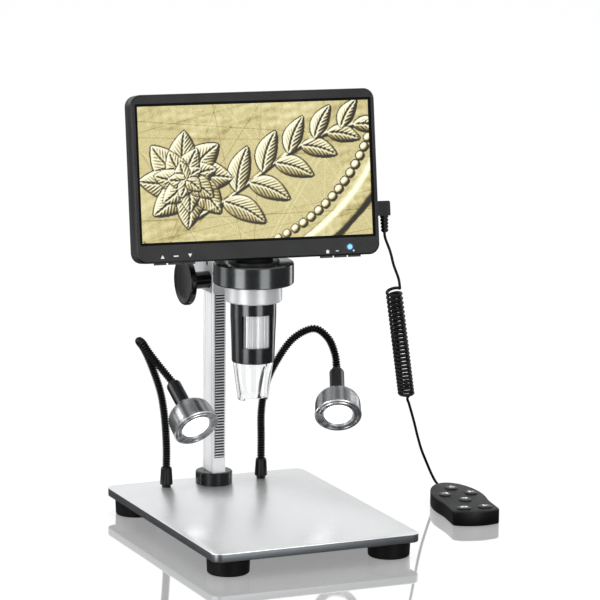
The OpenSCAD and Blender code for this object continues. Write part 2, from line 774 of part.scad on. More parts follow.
module sensor_board() {
  color([0.1, 0.35, 0.15]) in_head() translate([0, 0, sensor_z]) {
    cylinder(d = barrel_bore - 0.6, h = sensor_t);
    translate([-4, -4, -1.4]) cube([8, 8, 1.4 + eps]);
  }
}

module led_ring() {
  board_r = cap_plug_r - cap_wall - 0.3;
  color([0.95, 0.95, 0.9]) in_head() {
    translate([0, 0, led_z]) difference() {
      cylinder(r = board_r, h = led_t);
      translate([0, 0, -1]) cylinder(r = glass_r + 1.2, h = led_t + 2);
    }
    for (k = [0 : led_count - 1]) rotate([0, 0, (k + 0.5) * 360 / led_count])
      translate([(board_r + glass_r + 1.2) / 2, 0, led_z - 0.7]) cylinder(r = 1.1, h = 0.7 + eps);
  }
}

module clear_cap() {
  r1 = cap_d1 / 2;
  r2 = cap_d2 / 2;
  notch_h = 2;
  notch_r = 1.2;
  color([0.85, 0.9, 0.92, 0.5]) in_head() translate([0, 0, cap_z0]) difference() {
    rotate_extrude() polygon([
      [r2 - cap_wall, 0], [r2 - 0.3, 0], [r2, 0.4], [r1, cap_l - 1], [r1, cap_l], [cap_plug_r, cap_l],
      [cap_plug_r, cap_l + cap_plug_h], [cap_plug_r - cap_wall, cap_l + cap_plug_h],
      [cap_plug_r - cap_wall, cap_l - 1]
    ]);
    hull() for (sx = [-1, 1], z = [-1, notch_h - notch_r])
      translate([sx * (r2 * 0.78 - notch_r), 0, z]) rotate([90, 0, 0])
        cylinder(r = notch_r, h = 2 * cap_d1, center = true, $fn = 24);
  }
}

module tilt_pin() {
  color([0.7, 0.7, 0.72]) in_monitor() translate([0, hin_y, hin_z])
    rod_x(tilt_pin_d / 2, -notch_x - 1.4, notch_x + 1.4);
}

// Monitor ---------------------------------------------------------------------------------------

module at_cover_screws() {
  for (sx = [-1, 1], sz = [-1, 1]) translate([sx * cover_screw_x, 0, mon_cz + sz * cover_screw_z]) children();
}

module front_bezel() {
  inner_w = mon_w - 2 * shell_wall;
  inner_h = mon_h - 2 * shell_wall;
  key_slot = 0.15;
  color([0.2, 0.2, 0.21]) in_monitor() difference() {
    union() {
      upright(mon_w, mon_h, mon_r, 0.6, seam_y, mon_cz);
      hull() {
        upright(mon_w, mon_h, mon_r, 0.6, 0.7, mon_cz, $fn = 32);
        upright(mon_w - 0.9, mon_h - 0.9, mon_r - 0.4, -0.5, -0.4, mon_cz, $fn = 32);
        upright(mon_w - 2.2, mon_h - 2.2, mon_r - 0.8, -lip, -lip + 0.1, mon_cz, $fn = 32);
      }
    }
    upright(screen_w + 2 * screen_border, screen_h + 2 * screen_border, 1, -lip - 1, 1, 0);
    box_between([-panel_w / 2 - 0.1, 0, -panel_h / 2 - 0.1],
      [panel_w / 2 + 0.1, panel_t + 0.5, panel_h / 2 + 0.1]);
    upright(inner_w, inner_h, mon_r - shell_wall, 1.2, seam_y + 1, mon_cz);
    for (x = all_key_xs)
      box_between([x - key_w / 2 - key_slot, key_y - key_d / 2 - key_slot, mon_z0 - 1],
        [x + key_w / 2 + key_slot, key_y + key_d / 2 + key_slot, mon_z0 + shell_wall + 1]);
    translate([led_x, 2, led_zz]) rotate([90, 0, 0]) cylinder(d = led_d + 2 * pin_gap, h = 4);
  }
}

// Hollow back shell, before its notch and holes are cut
module cover_shell(inner_w, inner_h, boss_r) {
  back_f = 4;
  difference() {
    hull() {
      upright(mon_w, mon_h, mon_r, seam_y, back_y - back_f, mon_cz, $fn = 32);
      upright(mon_w - 2, mon_h - 2, mon_r - 0.5, back_y - 1.4, back_y - 1.3, mon_cz, $fn = 32);
      upright(mon_w - 2 * back_f, mon_h - 2 * back_f, mon_r - 1.5, back_y - 0.1, back_y, mon_cz, $fn = 32);
    }
    upright(inner_w, inner_h, mon_r - shell_wall, seam_y - 1, back_y - back_f, mon_cz);
    upright(inner_w - 5, inner_h - 5, mon_r - shell_wall, back_y - back_f - 1, back_y - shell_wall, mon_cz);
  }
  box_between([-notch_x - shell_wall, seam_y, mon_z0 + 1],
    [notch_x + shell_wall, back_y - 0.5, notch_top + shell_wall]);
  at_cover_screws() translate([0, back_y - shell_wall + 0.5, 0]) rotate([90, 0, 0])
    cylinder(r = boss_r, h = back_y - shell_wall + 0.5 - seam_y);
}

module rear_cover() {
  boss_r = 3.2;
  color([0.16, 0.16, 0.17]) in_monitor() difference() {
    union() {
      difference() {
        cover_shell(mon_w - 2 * shell_wall, mon_h - 2 * shell_wall, boss_r);
        box_between([-notch_x, seam_y + notch_wall, mon_z0 - 1], [notch_x, back_y + 1, notch_top]);
      }
      for (s = [-1, 1]) translate([s * (post_w / 2 + 0.3 + lug_l / 2), hin_y, hin_z])
        rod_x(lug_r, -lug_l / 2, lug_l / 2);
    }
    translate([0, hin_y, hin_z]) rod_x(tilt_pin_d / 2 + pin_gap, -notch_x - 1.5, notch_x + 1.5);
    at_cover_screws() {
      translate([0, back_y + 1, 0]) rotate([90, 0, 0]) cylinder(r = boss_r - 0.6, h = 4.4);
      translate([0, back_y, 0]) rotate([90, 0, 0])
        cylinder(d = cover_screw_d + 2 * pin_gap, h = back_y - seam_y - 1);
    }
    translate([0, jack_y, jack_z]) rod_x(plug_pin_r + 1.2, mon_w / 2 - shell_wall - 1, mon_w / 2 + 1);
  }
}

module lcd_panel() {
  color([0.75, 0.68, 0.35]) in_monitor()
    box_between([-panel_w / 2, 0, -panel_h / 2], [panel_w / 2, panel_t, panel_h / 2]);
}

module main_board() {
  board_w = panel_w - 12;
  color([0.1, 0.35, 0.15]) in_monitor() {
    box_between([-board_w / 2, board_y, board_z0], [board_w / 2, board_y + board_t, board_z0 + board_h]);
    for (x = all_key_xs) {
      box_between([x - 2, board_y - 2.2, board_z0], [x + 2, board_y + eps, board_z0 + 4]);
      box_between([x - 1.2, board_y - 2.2, switch_z], [x + 1.2, board_y - 0.4, board_z0 + eps]);
    }
  }
}

module battery() {
  cell_w = 62;
  cell_h = 40;
  color([0.6, 0.62, 0.65]) in_monitor()
    box_between([-cell_w / 2, board_y + board_t, -2], [cell_w / 2, back_y - shell_wall - 0.5, -2 + cell_h]);
}

module cover_screws() {
  shaft = back_y - seam_y - 4.6;
  color([0.2, 0.2, 0.2]) in_monitor() at_cover_screws() translate([0, back_y - 3.4, 0]) rotate([90, 0, 0]) {
    cylinder(d = cover_screw_d, h = shaft);
    translate([0, 0, -1.6]) difference() {
      cylinder(r = 2.5, h = 1.6);
      translate([0, 0, -eps]) cylinder(r = 1, h = 0.9, $fn = 6);
    }
  }
}

// Key that travels up into the monitor's lower edge
module monitor_key(x) {
  flange = 0.5;
  color([0.12, 0.12, 0.12]) in_monitor() {
    box_between([x - key_w / 2, key_y - key_d / 2, mon_z0 - key_out],
      [x + key_w / 2, key_y + key_d / 2, mon_z0 + shell_wall + key_inner]);
    box_between([x - key_w / 2 - flange, key_y - key_d / 2 - flange, mon_z0 + shell_wall],
      [x + key_w / 2 + flange, key_y + key_d / 2 + flange, mon_z0 + shell_wall + key_inner]);
  }
}

module power_light() {
  color([0.2, 0.6, 1]) in_monitor() translate([led_x, 3.4, led_zz]) rotate([90, 0, 0])
    cylinder(d = led_d, h = 3.4 + lip + 0.2);
}

module remote_socket() {
  x1 = mon_w / 2 - shell_wall - 0.3;
  color([0.1, 0.1, 0.1]) in_monitor() difference() {
    box_between([x1 - socket_l, jack_y - socket_half, jack_z - 3.2],
      [x1, jack_y + socket_half, jack_z + 3.2]);
    translate([0, jack_y, jack_z]) rod_x(plug_pin_r + pin_gap, x1 - socket_l + 1, x1 + 1);
  }
}

module remote_plug() {
  x0 = mon_w / 2 + 0.1;
  half = plug_body / 2;
  color([0.07, 0.07, 0.07]) in_monitor() {
    difference() {
      translate([0, 0, jack_z]) linear_extrude(plug_body, center = true) polygon([
        [x0, jack_y - 3.6], [x0 + plug_len - 3.4, jack_y - 3.8], [x0 + plug_len, jack_y - 1.4],
        [x0 + plug_len, jack_y + 1.4], [x0 + plug_len - 3.4, jack_y + 3.8], [x0, jack_y + 3.6]
      ]);
      translate([x0 + plug_len - 1, jack_y - 6, jack_z + half]) rotate([0, 40, 0]) cube([6, 12, 6]);
    }
    translate([0, jack_y, jack_z]) rod_x(plug_pin_r, x0 - 11, x0 + eps);
  }
}

module plug_relief() {
  ribs = 5;
  rib = relief_l / ribs;
  profile = [for (k = [0 : ribs - 1]) each [
    [relief_r * (1 - 0.03 * k), -k * rib], [relief_r * (1 - 0.03 * k), -(k + 0.62) * rib],
    [relief_r * (0.8 - 0.03 * k), -(k + 0.66) * rib], [relief_r * (0.8 - 0.03 * k), -(k + 0.96) * rib]]];
  color([0.07, 0.07, 0.07]) in_monitor() translate([relief_x, jack_y, jack_z - plug_body / 2])
    rotate_extrude($fn = 32) polygon(concat([[0, 0]], profile,
      [[cord_r + cord_gap, -relief_l], [cord_r + cord_gap, cord_grip - relief_l], [0, cord_grip - relief_l]]));
}

// Cord ------------------------------------------------------------------------------------------

function turn_z(v, a) = [v[0] * cos(a) - v[1] * sin(a), v[0] * sin(a) + v[1] * cos(a), v[2]];
function monitor_point(p) =
  let (
    leaned = [p[0], p[1] * cos(lean) + p[2] * sin(lean), p[2] * cos(lean) - p[1] * sin(lean)],
    q = leaned + [0, -screen_fwd, scr_z]
  )
  turn_z(q, head_yaw) + [0, tube_y, 0];
function remote_point(p) = turn_z(p, rem_turn) + [rem_pos[0], rem_pos[1], 0];
function in_relief(depth) = monitor_point([relief_x, jack_y, jack_z - plug_body / 2 - relief_l + depth]);
coil_axis = unit(coil_end - coil_top);
coil_side = unit([1, 0, 0] - (coil_axis * [1, 0, 0]) * coil_axis);
coil_join = 0.8 * coil_r;

module cord(points, n) {
  path = spline(points, n);
  swept_tube(path, [for (p = path) cord_r], 8, [0.3, 1, 0.1]);
}

module cord_upper() {
  color([0.05, 0.05, 0.05]) cord(concat([in_relief(cord_grip - 0.5), in_relief(-3)], route_upper,
    [coil_top + coil_join * coil_side - coil_gap * coil_axis]), 4);
}

module cord_coil() {
  swing = atan2(coil_axis[1], coil_axis[0]);
  drop = acos(coil_axis[2]);
  color([0.05, 0.05, 0.05]) translate(coil_top) rotate([0, drop, swing])
    cylinder(r = coil_r, h = norm(coil_end - coil_top));
}

module cord_lower() {
  stations = [rem_l + 3.5, rem_l - 1, rem_l - cord_reach];
  entry = [for (y = stations) remote_point([rem_cord_x, y, rem_seam])];
  color([0.05, 0.05, 0.05])
    cord(concat([coil_end + coil_gap * coil_axis, coil_end + cord_lead * coil_axis], route_lower, entry), 4);
}

// Lamps -----------------------------------------------------------------------------------------

module lamp_boots() {
  color([0.07, 0.07, 0.07]) at_boots() difference() {
    union() {
      rotate_extrude() polygon([
        [0, 0], [boot_d / 2 - 1.2, 0], [boot_d / 2 - 1.2, 1.2], [boot_d / 2, 2.2], [boot_d / 2 - 0.1, 4.5],
        [boot_d / 2 - 0.6, boot_h - 0.8], [boot_d / 2 - 0.9, boot_h], [0, boot_h]
      ]);
      translate([0, 0, -plate_t - nut_h - 1]) cylinder(d = stud_d, h = plate_t + nut_h + 1 + eps);
    }
    translate([0, 0, boot_h - boot_bore_depth - 0.3]) cylinder(r = neck_r + run_gap, h = boot_bore_depth + 1);
  }
}

// Gooseneck with shallow ribs, smooth where it stands in its boot and in its sleeve
module gooseneck(route, side_ref) {
  steps = 8;
  path = spline(route, steps);
  smooth_start = steps + 2;
  smooth_end = len(path) - steps - 2;
  radii = [for (i = [0 : len(path) - 1])
    i < smooth_start || i > smooth_end || i % 2 == 0 ? neck_r : neck_r - rib_depth];
  color([0.08, 0.08, 0.08]) swept_tube(path, radii, 12, side_ref);
}

module gooseneck_left() { gooseneck(route_left, [1, 0.25, 0]); }
module gooseneck_right() { gooseneck(route_right, [0.35, 1, 0]); }

module lamp_sleeve(end, yaw) {
  r = sleeve_d / 2;
  color([0.09, 0.09, 0.09]) on_gooseneck(end, yaw) difference() {
    rotate_extrude() polygon([
      [0, 0], [r - 1.4, 0], [r - 0.4, 0.5], [r, 1.6], [r, sleeve_l - 0.4], [r - 0.4, sleeve_l], [0, sleeve_l]
    ]);
    translate([0, 0, -1]) cylinder(r = neck_r + pin_gap, h = 1 + neck_grip + 0.2);
  }
}

module lamp_head(end, yaw) {
  r = head_d / 2;
  cavity = lens_d / 2;
  color([0.62, 0.63, 0.65]) on_gooseneck(end, yaw) translate([0, 0, sleeve_l])
    rotate_extrude($fn = 64) polygon([
      [0, 0], [sleeve_d / 2 + 1, 0], [sleeve_d / 2 + 1.4, 1.4], [r * 0.62, 3.4], [r * 0.8, 5],
      [r * 0.93, 7.6], [r - 0.5, 10.6], [r - 0.3, head_l - 1.2], [r, head_l - 0.6],
      [r - 0.6, head_l], [cavity + 1, head_l], [cavity, head_l - 1], [cavity, head_l - cavity_depth], [0, head_l - cavity_depth]
    ]);
}

module lamp_led(end, yaw) {
  r = lens_d / 2 - 0.3;
  color([0.95, 0.95, 0.85]) on_gooseneck(end, yaw) translate([0, 0, sleeve_l + head_l - cavity_depth]) {
    cylinder(r = r, h = 1.6);
    translate([0, 0, 1.6 - eps]) cylinder(r = r * 0.45, h = 1);
  }
}

module lamp_lens(end, yaw) {
  r = lens_d / 2 - pin_gap;
  color([0.95, 0.97, 1]) on_gooseneck(end, yaw) translate([0, 0, sleeve_l + head_l - lens_depth])
    rotate_extrude() polygon([[0, 0], [r, 0], [r, 2.4], [r * 0.75, 2.9], [r * 0.4, 3.2], [0, 3.3]]);
}

// Remote ----------------------------------------------------------------------------------------

function share(s, from, to) = (s - from) / (to - from);

// Half width of the remote at distance s from its front edge
function rem_half(s) =
  s < rem_waist_at
    ? rem_waist + (rem_front - rem_waist) * (1 + cos(180 * s / rem_waist_at)) / 2
    : s < rem_belly_at
      ? rem_waist + (rem_belly - rem_waist) * (1 - cos(180 * share(s, rem_waist_at, rem_belly_at))) / 2
      : rem_belly * sqrt(max(0, 1 - pow(share(s, rem_belly_at, rem_l), 2)));

// Points of the outline, moved inwards by d
function rem_side(d) = concat(
  [for (k = [0 : 8]) let (s = max(rem_belly_at * k / 8, rem_round)) [rem_half(s) - d, max(s, d)]],
  [for (k = [1 : 10]) let (a = 9 * k, along = rem_l - rem_belly_at - d)
    [(rem_belly - d) * cos(a), rem_belly_at + along * sin(a)]]
);
function rem_bowed(d, x) = [x, d - rem_bow * (1 - pow(x / (rem_half(0) - d), 2))];
function rem_corner(d) =
  let (front = rem_half(0) - d, a = [rem_half(rem_round) - d, rem_round], c = [front, d],
    b = rem_bowed(d, front - rem_round))
  [for (t = [0.25 : 0.25 : 1]) a * pow(1 - t, 2) + 2 * c * t * (1 - t) + b * t * t];
function rem_outline(d) =
  let (side = rem_side(d), corner = rem_corner(d), n = len(side), front = rem_half(0) - d - rem_round)
  concat(side, [for (k = [n - 2 : -1 : 0]) [-side[k][0], side[k][1]]],
    [for (p = corner) [-p[0], p[1]]], [for (k = [1 : 7]) rem_bowed(d, front * (k / 4 - 1))],
    [for (k = [3 : -1 : 0]) corner[k]]);

module rem_slab(d, z0, z1) {
  translate([0, 0, z0]) linear_extrude(z1 - z0) polygon(rem_outline(d));
}

// Key places: [x, y, width, depth]
rem_keys = [
  [0, 59, 7.6, 9.4], [-9.2, 42.5, 7.6, 9.4], [9.2, 43.5, 7.6, 9.4], [0, 26.5, 7.6, 9.4],
  [-7.4, 4.8, 9.4, 8], [7.4, 5.6, 9.4, 8]
];

module key_outline(k, grow) {
  w = rem_keys[k][2] + 2 * grow;
  d = rem_keys[k][3] + 2 * grow;
  r = min(w, d) / 2 - 0.2;
  translate([rem_keys[k][0], rem_keys[k][1]]) rounded_rect(w, d, r);
}

module remote_top() {
  edge = 0.9;
  color([0.1, 0.1, 0.1]) in_remote() difference() {
    union() {
      rem_slab(0, rem_seam, rem_h - edge);
      rem_slab(edge * 0.35, rem_h - edge - eps, rem_h - edge * 0.4);
      rem_slab(edge, rem_h - edge * 0.4 - eps, rem_h);
    }
    rem_slab(rem_wall, rem_seam - 1, rem_h - rem_wall);
    for (k = [0 : 5]) translate([0, 0, rem_h - rem_wall - 1])
      linear_extrude(rem_wall + 2) key_outline(k, rem_key_gap);
    translate([rem_cord_x, rem_l + 1, rem_seam]) rotate([90, 0, 0]) cylinder(r = cord_r + cord_gap, h = 6);
  }
}

module remote_bottom() {
  edge = 0.6;
  color([0.08, 0.08, 0.08]) in_remote() difference() {
    union() {
      rem_slab(edge, 0, edge + eps);
      rem_slab(0, edge, rem_seam);
    }
    rem_slab(rem_wall, rem_wall, rem_seam + 1);
    translate([rem_cord_x, rem_l + 1, rem_seam]) rotate([90, 0, 0]) cylinder(r = cord_r + cord_gap, h = 6);
  }
}

module remote_board() {
  cord_room = cord_r + 0.5;
  color([0.1, 0.35, 0.15]) in_remote() {
    difference() {
      rem_slab(rem_wall + 0.3, rem_board_z, rem_board_z + rem_board_t);
      box_between([rem_cord_x - cord_room, rem_l - cord_reach - 0.5, rem_board_z - 1],
        [rem_cord_x + cord_room, rem_l, rem_board_z + rem_board_t + 1]);
    }
    for (s = [0.22, 0.5, 0.8]) translate([0, rem_l * s, rem_wall])
      cylinder(r = 1.6, h = rem_board_z - rem_wall + eps);
  }
}

module remote_key(k) {
  flange = 0.6;
  flange_z = rem_h - rem_wall - 0.9;
  stem_z = rem_board_z + rem_board_t + 0.7;
  color([0.13, 0.13, 0.13]) in_remote() {
    translate([0, 0, flange_z]) linear_extrude(rem_h + rem_key_out - 0.4 - flange_z) key_outline(k, 0);
    translate([0, 0, flange_z]) linear_extrude(rem_h + rem_key_out - flange_z) key_outline(k, -0.5);
    translate([0, 0, flange_z]) linear_extrude(0.9) key_outline(k, flange);
    translate([rem_keys[k][0], rem_keys[k][1], stem_z]) cylinder(r = 1.5, h = flange_z - stem_z + eps);
  }
}

base_plate();
rubber_feet();
base_screws();
column();
rack();
column_flange();
carriage_block();
carriage_screws();
ring_holder();
pinion_shaft();
focus_knob();
head_neck();
trim_ring();
tube_barrel();
focus_wheel();
lens_cell();
lens_glass();
sensor_board();
led_ring();
clear_cap();
tilt_pin();
front_bezel();
rear_cover();
lcd_panel();
main_board();
battery();
cover_screws();
monitor_key(all_key_xs[0]);  // key_up
monitor_key(all_key_xs[1]);  // key_select
monitor_key(all_key_xs[2]);  // key_down
monitor_key(all_key_xs[3]);  // key_menu
monitor_key(all_key_xs[4]);  // key_mode
monitor_key(all_key_xs[5]);  // key_power
power_light();
remote_socket();
remote_plug();
plug_relief();
cord_upper();
cord_coil();
cord_lower();
lamp_boots();
gooseneck_left();
gooseneck_right();
lamp_sleeve(end_left, lamp_yaw_left);  // lamp_sleeve_left
lamp_sleeve(end_right, lamp_yaw_right);  // lamp_sleeve_right
lamp_head(end_left, lamp_yaw_left);  // lamp_head_left
lamp_head(end_right, lamp_yaw_right);  // lamp_head_right
lamp_led(end_left, lamp_yaw_left);  // lamp_led_left
lamp_led(end_right, lamp_yaw_right);  // lamp_led_right
lamp_lens(end_left, lamp_yaw_left);  // lamp_lens_left
lamp_lens(end_right, lamp_yaw_right);  // lamp_lens_right
remote_top();
remote_bottom();
remote_board();
remote_key(0);  // remote_key_up
remote_key(1);  // remote_key_left
remote_key(2);  // remote_key_right
remote_key(3);  // remote_key_down
remote_key(4);  // remote_key_snap
remote_key(5);  // remote_key_play
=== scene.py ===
"""Looks of the LCD desk microscope: finishes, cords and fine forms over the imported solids.

Lengths inside the classes are millimetres, as on a drawing. Placement.world turns them into the
metres of the shared frame: +Z up, the front towards -Y, the origin on the desk under the stage.
"""

from __future__ import annotations

import logging
import math
from dataclasses import dataclass, field
from enum import Enum
from typing import Sequence

import bmesh
import bpy
import numpy as np
from mathutils import Matrix


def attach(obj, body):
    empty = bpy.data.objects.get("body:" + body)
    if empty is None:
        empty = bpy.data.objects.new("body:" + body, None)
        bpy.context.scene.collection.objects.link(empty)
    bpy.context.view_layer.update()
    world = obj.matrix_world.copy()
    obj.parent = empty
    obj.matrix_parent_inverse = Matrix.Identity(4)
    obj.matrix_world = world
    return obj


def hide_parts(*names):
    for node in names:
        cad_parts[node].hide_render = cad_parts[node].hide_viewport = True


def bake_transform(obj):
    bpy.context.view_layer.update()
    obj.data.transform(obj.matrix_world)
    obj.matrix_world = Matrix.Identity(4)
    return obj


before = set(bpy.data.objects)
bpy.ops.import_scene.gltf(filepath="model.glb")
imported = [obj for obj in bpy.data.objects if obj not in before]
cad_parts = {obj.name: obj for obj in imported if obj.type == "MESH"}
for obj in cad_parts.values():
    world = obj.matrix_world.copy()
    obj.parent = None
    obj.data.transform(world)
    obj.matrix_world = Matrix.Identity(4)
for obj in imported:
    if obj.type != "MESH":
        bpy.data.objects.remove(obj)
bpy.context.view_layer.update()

LOG = logging.getLogger("microscope")
MM = 0.001
Colour = tuple[float, float, float]
Point = tuple[float, float, float]
Band = tuple[float, float]
Socket = bpy.types.NodeSocket
FIRST_SIDE: Point = (0.3, 1.0, 0.1)


def hexed(code: str) -> Colour:
    """Linear colour of a six-digit display code.

    Args:
        code: Red, green and blue as six hexadecimal digits.

    Returns:
        The colour as three linear numbers, by the standard display curve.
    """
    parts = np.array([int(code[k : k + 2], 16) / 255 for k in (0, 2, 4)])
    linear = np.where(parts <= 0.04045, parts / 12.92, ((parts + 0.055) / 1.055) ** 2.4)
    return tuple(float(x) for x in linear)


def tinted(colour: Colour, share: float) -> Colour:
    """A colour made darker or lighter by a share, with no channel above 1."""
    return tuple(min(channel * share, 1) for channel in colour)


# Places ---------------------------------------------------------------------------------------


@dataclass(frozen=True)
class Placement:
    """A rigid place on the drawing: a turn, then a shift in millimetres."""

    turn: np.ndarray = field(default_factory=lambda: np.eye(3))
    shift: np.ndarray = field(default_factory=lambda: np.zeros(3))

    def moved(self, x: float, y: float, z: float) -> Placement:
        """This place moved along its own axes."""
        return Placement(self.turn, self.shift + self.turn @ np.array([x, y, z], float))

    def turned(self, axis: str, degrees: float) -> Placement:
        """This place turned about one of its own axes."""
        turn = np.array(Matrix.Rotation(math.radians(degrees), 3, axis))
        return Placement(self.turn @ turn, self.shift)

    def points(self, local: np.ndarray) -> np.ndarray:
        """Local points on the drawing, in millimetres."""
        return np.asarray(local, float) @ self.turn.T + self.shift

    def world(self, local: np.ndarray) -> np.ndarray:
        """Local points in the shared frame, in metres."""
        return self.points(local) * MM

    def local(self, world: np.ndarray) -> np.ndarray:
        """Points of the shared frame, in metres, as this place has them, in millimetres."""
        return (world / MM - self.shift) @ self.turn


DRAWING = Placement()
HEAD = DRAWING.moved(0, 12.5, 0).turned("Z", -7.5)
MONITOR = HEAD.moved(0, -4.3, 236.2).turned("X", -10)
REMOTE = DRAWING.moved(140.7, -32, 0).turned("Z", -9.5)


# Meshes ---------------------------------------------------------------------------------------


def mesh_piece(
    name: str,
    vertices: np.ndarray,
    faces: Sequence[Sequence[int]],
    uv: np.ndarray | None = None,
    sharp: float = 32.0,
) -> bpy.types.Object:
    """Puts points and faces into a closed, outward-facing mesh object at the origin.

    Args:
        name: Name of the piece.
        vertices: Points in metres, one row each.
        faces: Corner indices of each face.
        uv: One row for each face corner, in the order of the faces.
        sharp: Angle in degrees from which an edge is shaded sharp.

    Returns:
        The new object, with doubles merged and normals pointing outwards.
    """
    mesh = bpy.data.meshes.new(name)
    mesh.from_pydata(vertices.tolist(), [], [list(map(int, f)) for f in faces])
    if uv is not None:
        mesh.uv_layers.new(name="UVMap").uv.foreach_set("vector", np.asarray(uv, np.float32).ravel())
    work = bmesh.new()
    work.from_mesh(mesh)
    bmesh.ops.remove_doubles(work, verts=work.verts, dist=1e-7)
    bmesh.ops.recalc_face_normals(work, faces=work.faces)
    work.to_mesh(mesh)
    work.free()
    mesh.shade_smooth()
    mesh.set_sharp_from_angle(angle=math.radians(sharp))
    piece = bpy.data.objects.new(name, mesh)
    bpy.context.scene.collection.objects.link(piece)
    return piece


def grid_piece(
    name: str,
    grid: np.ndarray,
    ring: bool = True,
    loop: bool = False,
    sharp: float = 32.0,
) -> bpy.types.Object:
    """Skins a grid of points with quads and closes its two end rows.

    Corner (i, j) of the grid joins (i, j + 1), (i + 1, j + 1) and (i + 1, j). Its texture place is
    j over the number of columns and i over the number of rows less one.

    Args:
        name: Name of the piece.
        grid: Points in metres, rows by columns by three.
        ring: Whether the last column joins the first.
        loop: Whether the last row joins the first; otherwise each end row is a cap.
        sharp: Angle in degrees from which an edge is shaded sharp.

    Returns:
        The new object.
    """
    rows, columns = grid.shape[:2]
    last_row = rows if loop else rows - 1
    last_column = columns if ring else columns - 1
    i, j = np.meshgrid(np.arange(last_row), np.arange(last_column), indexing="ij")
    i, j = i.ravel(), j.ravel()
    down, across = (i + 1) % rows, (j + 1) % columns
    corners = [i * columns + j, i * columns + across, down * columns + across, down * columns + j]
    quads = np.stack(corners, 1)
    u0, u1 = j / columns, (j + 1) / columns
    v0, v1 = i / max(rows - 1, 1), (i + 1) / max(rows - 1, 1)
    uv = np.stack([u0, v0, u1, v0, u1, v1, u0, v1], 1).reshape(-1, 2)
    faces = quads.tolist()
    if not loop:
        for row in (0, rows - 1):
            if np.ptp(grid[row], axis=0).max() > 1e-7:
                faces.append(list(range(row * columns, (row + 1) * columns)))
                uv = np.vstack([uv, np.tile([[0.5, row / (rows - 1)]], (columns, 1))])
    return mesh_piece(name, grid.reshape(-1, 3), faces, uv, sharp)


def revolved(
    name: str,
    profile: Sequence[tuple[float, float]],
    place: Placement,
    sides: int = 96,
    sharp: float = 32.0,
) -> bpy.types.Object:
    """Turns a profile of radius and height about a place's Z axis.

    A point at angle a is (radius * cos a, radius * sin a, height).

    Args:
        name: Name of the piece.
        profile: Radius and height of each point, in millimetres.
        place: The place whose Z axis the profile turns about.
        sides: Points round the axis.
        sharp: Angle in degrees from which an edge is shaded sharp.

    Returns:
        The new object.
    """
    radius, height = np.array(profile, float).T
    angle = np.linspace(0, 2 * np.pi, sides, endpoint=False)
    x, y = np.outer(radius, np.cos(angle)), np.outer(radius, np.sin(angle))
    grid = np.stack([x, y, np.outer(height, np.ones(sides))], 2)
    return grid_piece(name, place.world(grid), sharp=sharp)


def rounded_profile(
    corners: Sequence[tuple[float, float, float]], steps: int = 5
) -> list[tuple[float, float]]:
    """Rounds the corners of a profile with quadratic curves.

    Args:
        corners: Radius, height and rounding length of each corner.
        steps: Points on each rounded corner.

    Returns:
        The profile's points. A corner c rounded by d runs from c - d along the incoming side to
        c + d along the outgoing one, as a * (1 - t)^2 + 2 * c * t * (1 - t) + b * t^2.
    """
    out: list[tuple[float, float]] = []
    for k, (x, y, soft) in enumerate(corners):
        corner = np.array([x, y])
        if soft <= 0 or k in (0, len(corners) - 1):
            out.append((x, y))
            continue
        before = np.array(corners[k - 1][:2]) - corner
        after = np.array(corners[k + 1][:2]) - corner
        a = corner + before / np.linalg.norm(before) * soft
        b = corner + after / np.linalg.norm(after) * soft
        for t in np.linspace(0, 1, steps):
            out.append(tuple(a * (1 - t) ** 2 + 2 * corner * t * (1 - t) + b * t**2))
    return out


def slab(
    name: str,
    outline: np.ndarray,
    levels: Sequence[tuple[float, float]],
    place: Placement,
    sharp: float = 40.0,
) -> bpy.types.Object:
    """Stacks inset copies of a flat outline into a solid with shaped edges.

    A point moves inwards along its own corner's normal by the level's inset.

    Args:
        name: Name of the piece.
        outline: Points of the outline in millimetres, anticlockwise.
        levels: Inset and height of each level, from one face to the other.
        place: The place whose XY plane holds the outline.
        sharp: Angle in degrees from which an edge is shaded sharp.

    Returns:
        The new object.
    """
    along = np.roll(outline, -1, 0) - np.roll(outline, 1, 0)
    inward = np.stack([-along[:, 1], along[:, 0]], 1)
    inward /= np.linalg.norm(inward, axis=1)[:, None]
    rows = [
        np.column_stack([outline + inset * inward, np.full(len(outline), height)])
        for inset, height in levels
    ]
    return grid_piece(name, place.world(np.stack(rows)), sharp=sharp)


def rounded_rect(width: float, depth: float, radius: float, steps: int = 8) -> np.ndarray:
    """Outline of a rectangle with round corners, about the origin.

    A corner's points are its centre plus radius * (cos a, sin a), over a quarter turn.

    Args:
        width: Size along X.
        depth: Size along Y.
        radius: Radius of the corners.
        steps: Points on each corner.

    Returns:
        The outline's points, anticlockwise.
    """
    angle = np.concatenate([np.linspace(k, k + 1, steps) for k in range(4)]) * np.pi / 2
    quarter = np.repeat(np.arange(4), steps)
    centre_x = np.where(np.isin(quarter, (0, 3)), 1, -1) * (width / 2 - radius)
    centre_y = np.where(quarter < 2, 1, -1) * (depth / 2 - radius)
    return np.column_stack([centre_x + radius * np.cos(angle), centre_y + radius * np.sin(angle)])


def spline(points: Sequence[Point], steps: int) -> np.ndarray:
    """Smooth line through points, by the uniform Catmull-Rom formula.

    Args:
        points: The points passed through, in millimetres.
        steps: Pieces that each span is cut into.

    Returns:
        The line's points, one row each.
    """
    p = np.array(points, float)
    a, b, c, d = p[np.clip(np.arange(len(p) - 1)[None] + np.array([[-1], [0], [1], [2]]), 0, len(p) - 1)]
    t = (np.arange(steps) / steps)[None, :, None]
    a, b, c, d = a[:, None], b[:, None], c[:, None], d[:, None]
    line = 0.5 * (
        2 * b + (c - a) * t + (2 * a - 5 * b + 4 * c - d) * t**2 + (3 * b - a - 3 * c + d) * t**3
    )
    return np.vstack([line.reshape(-1, 3), p[-1:]])


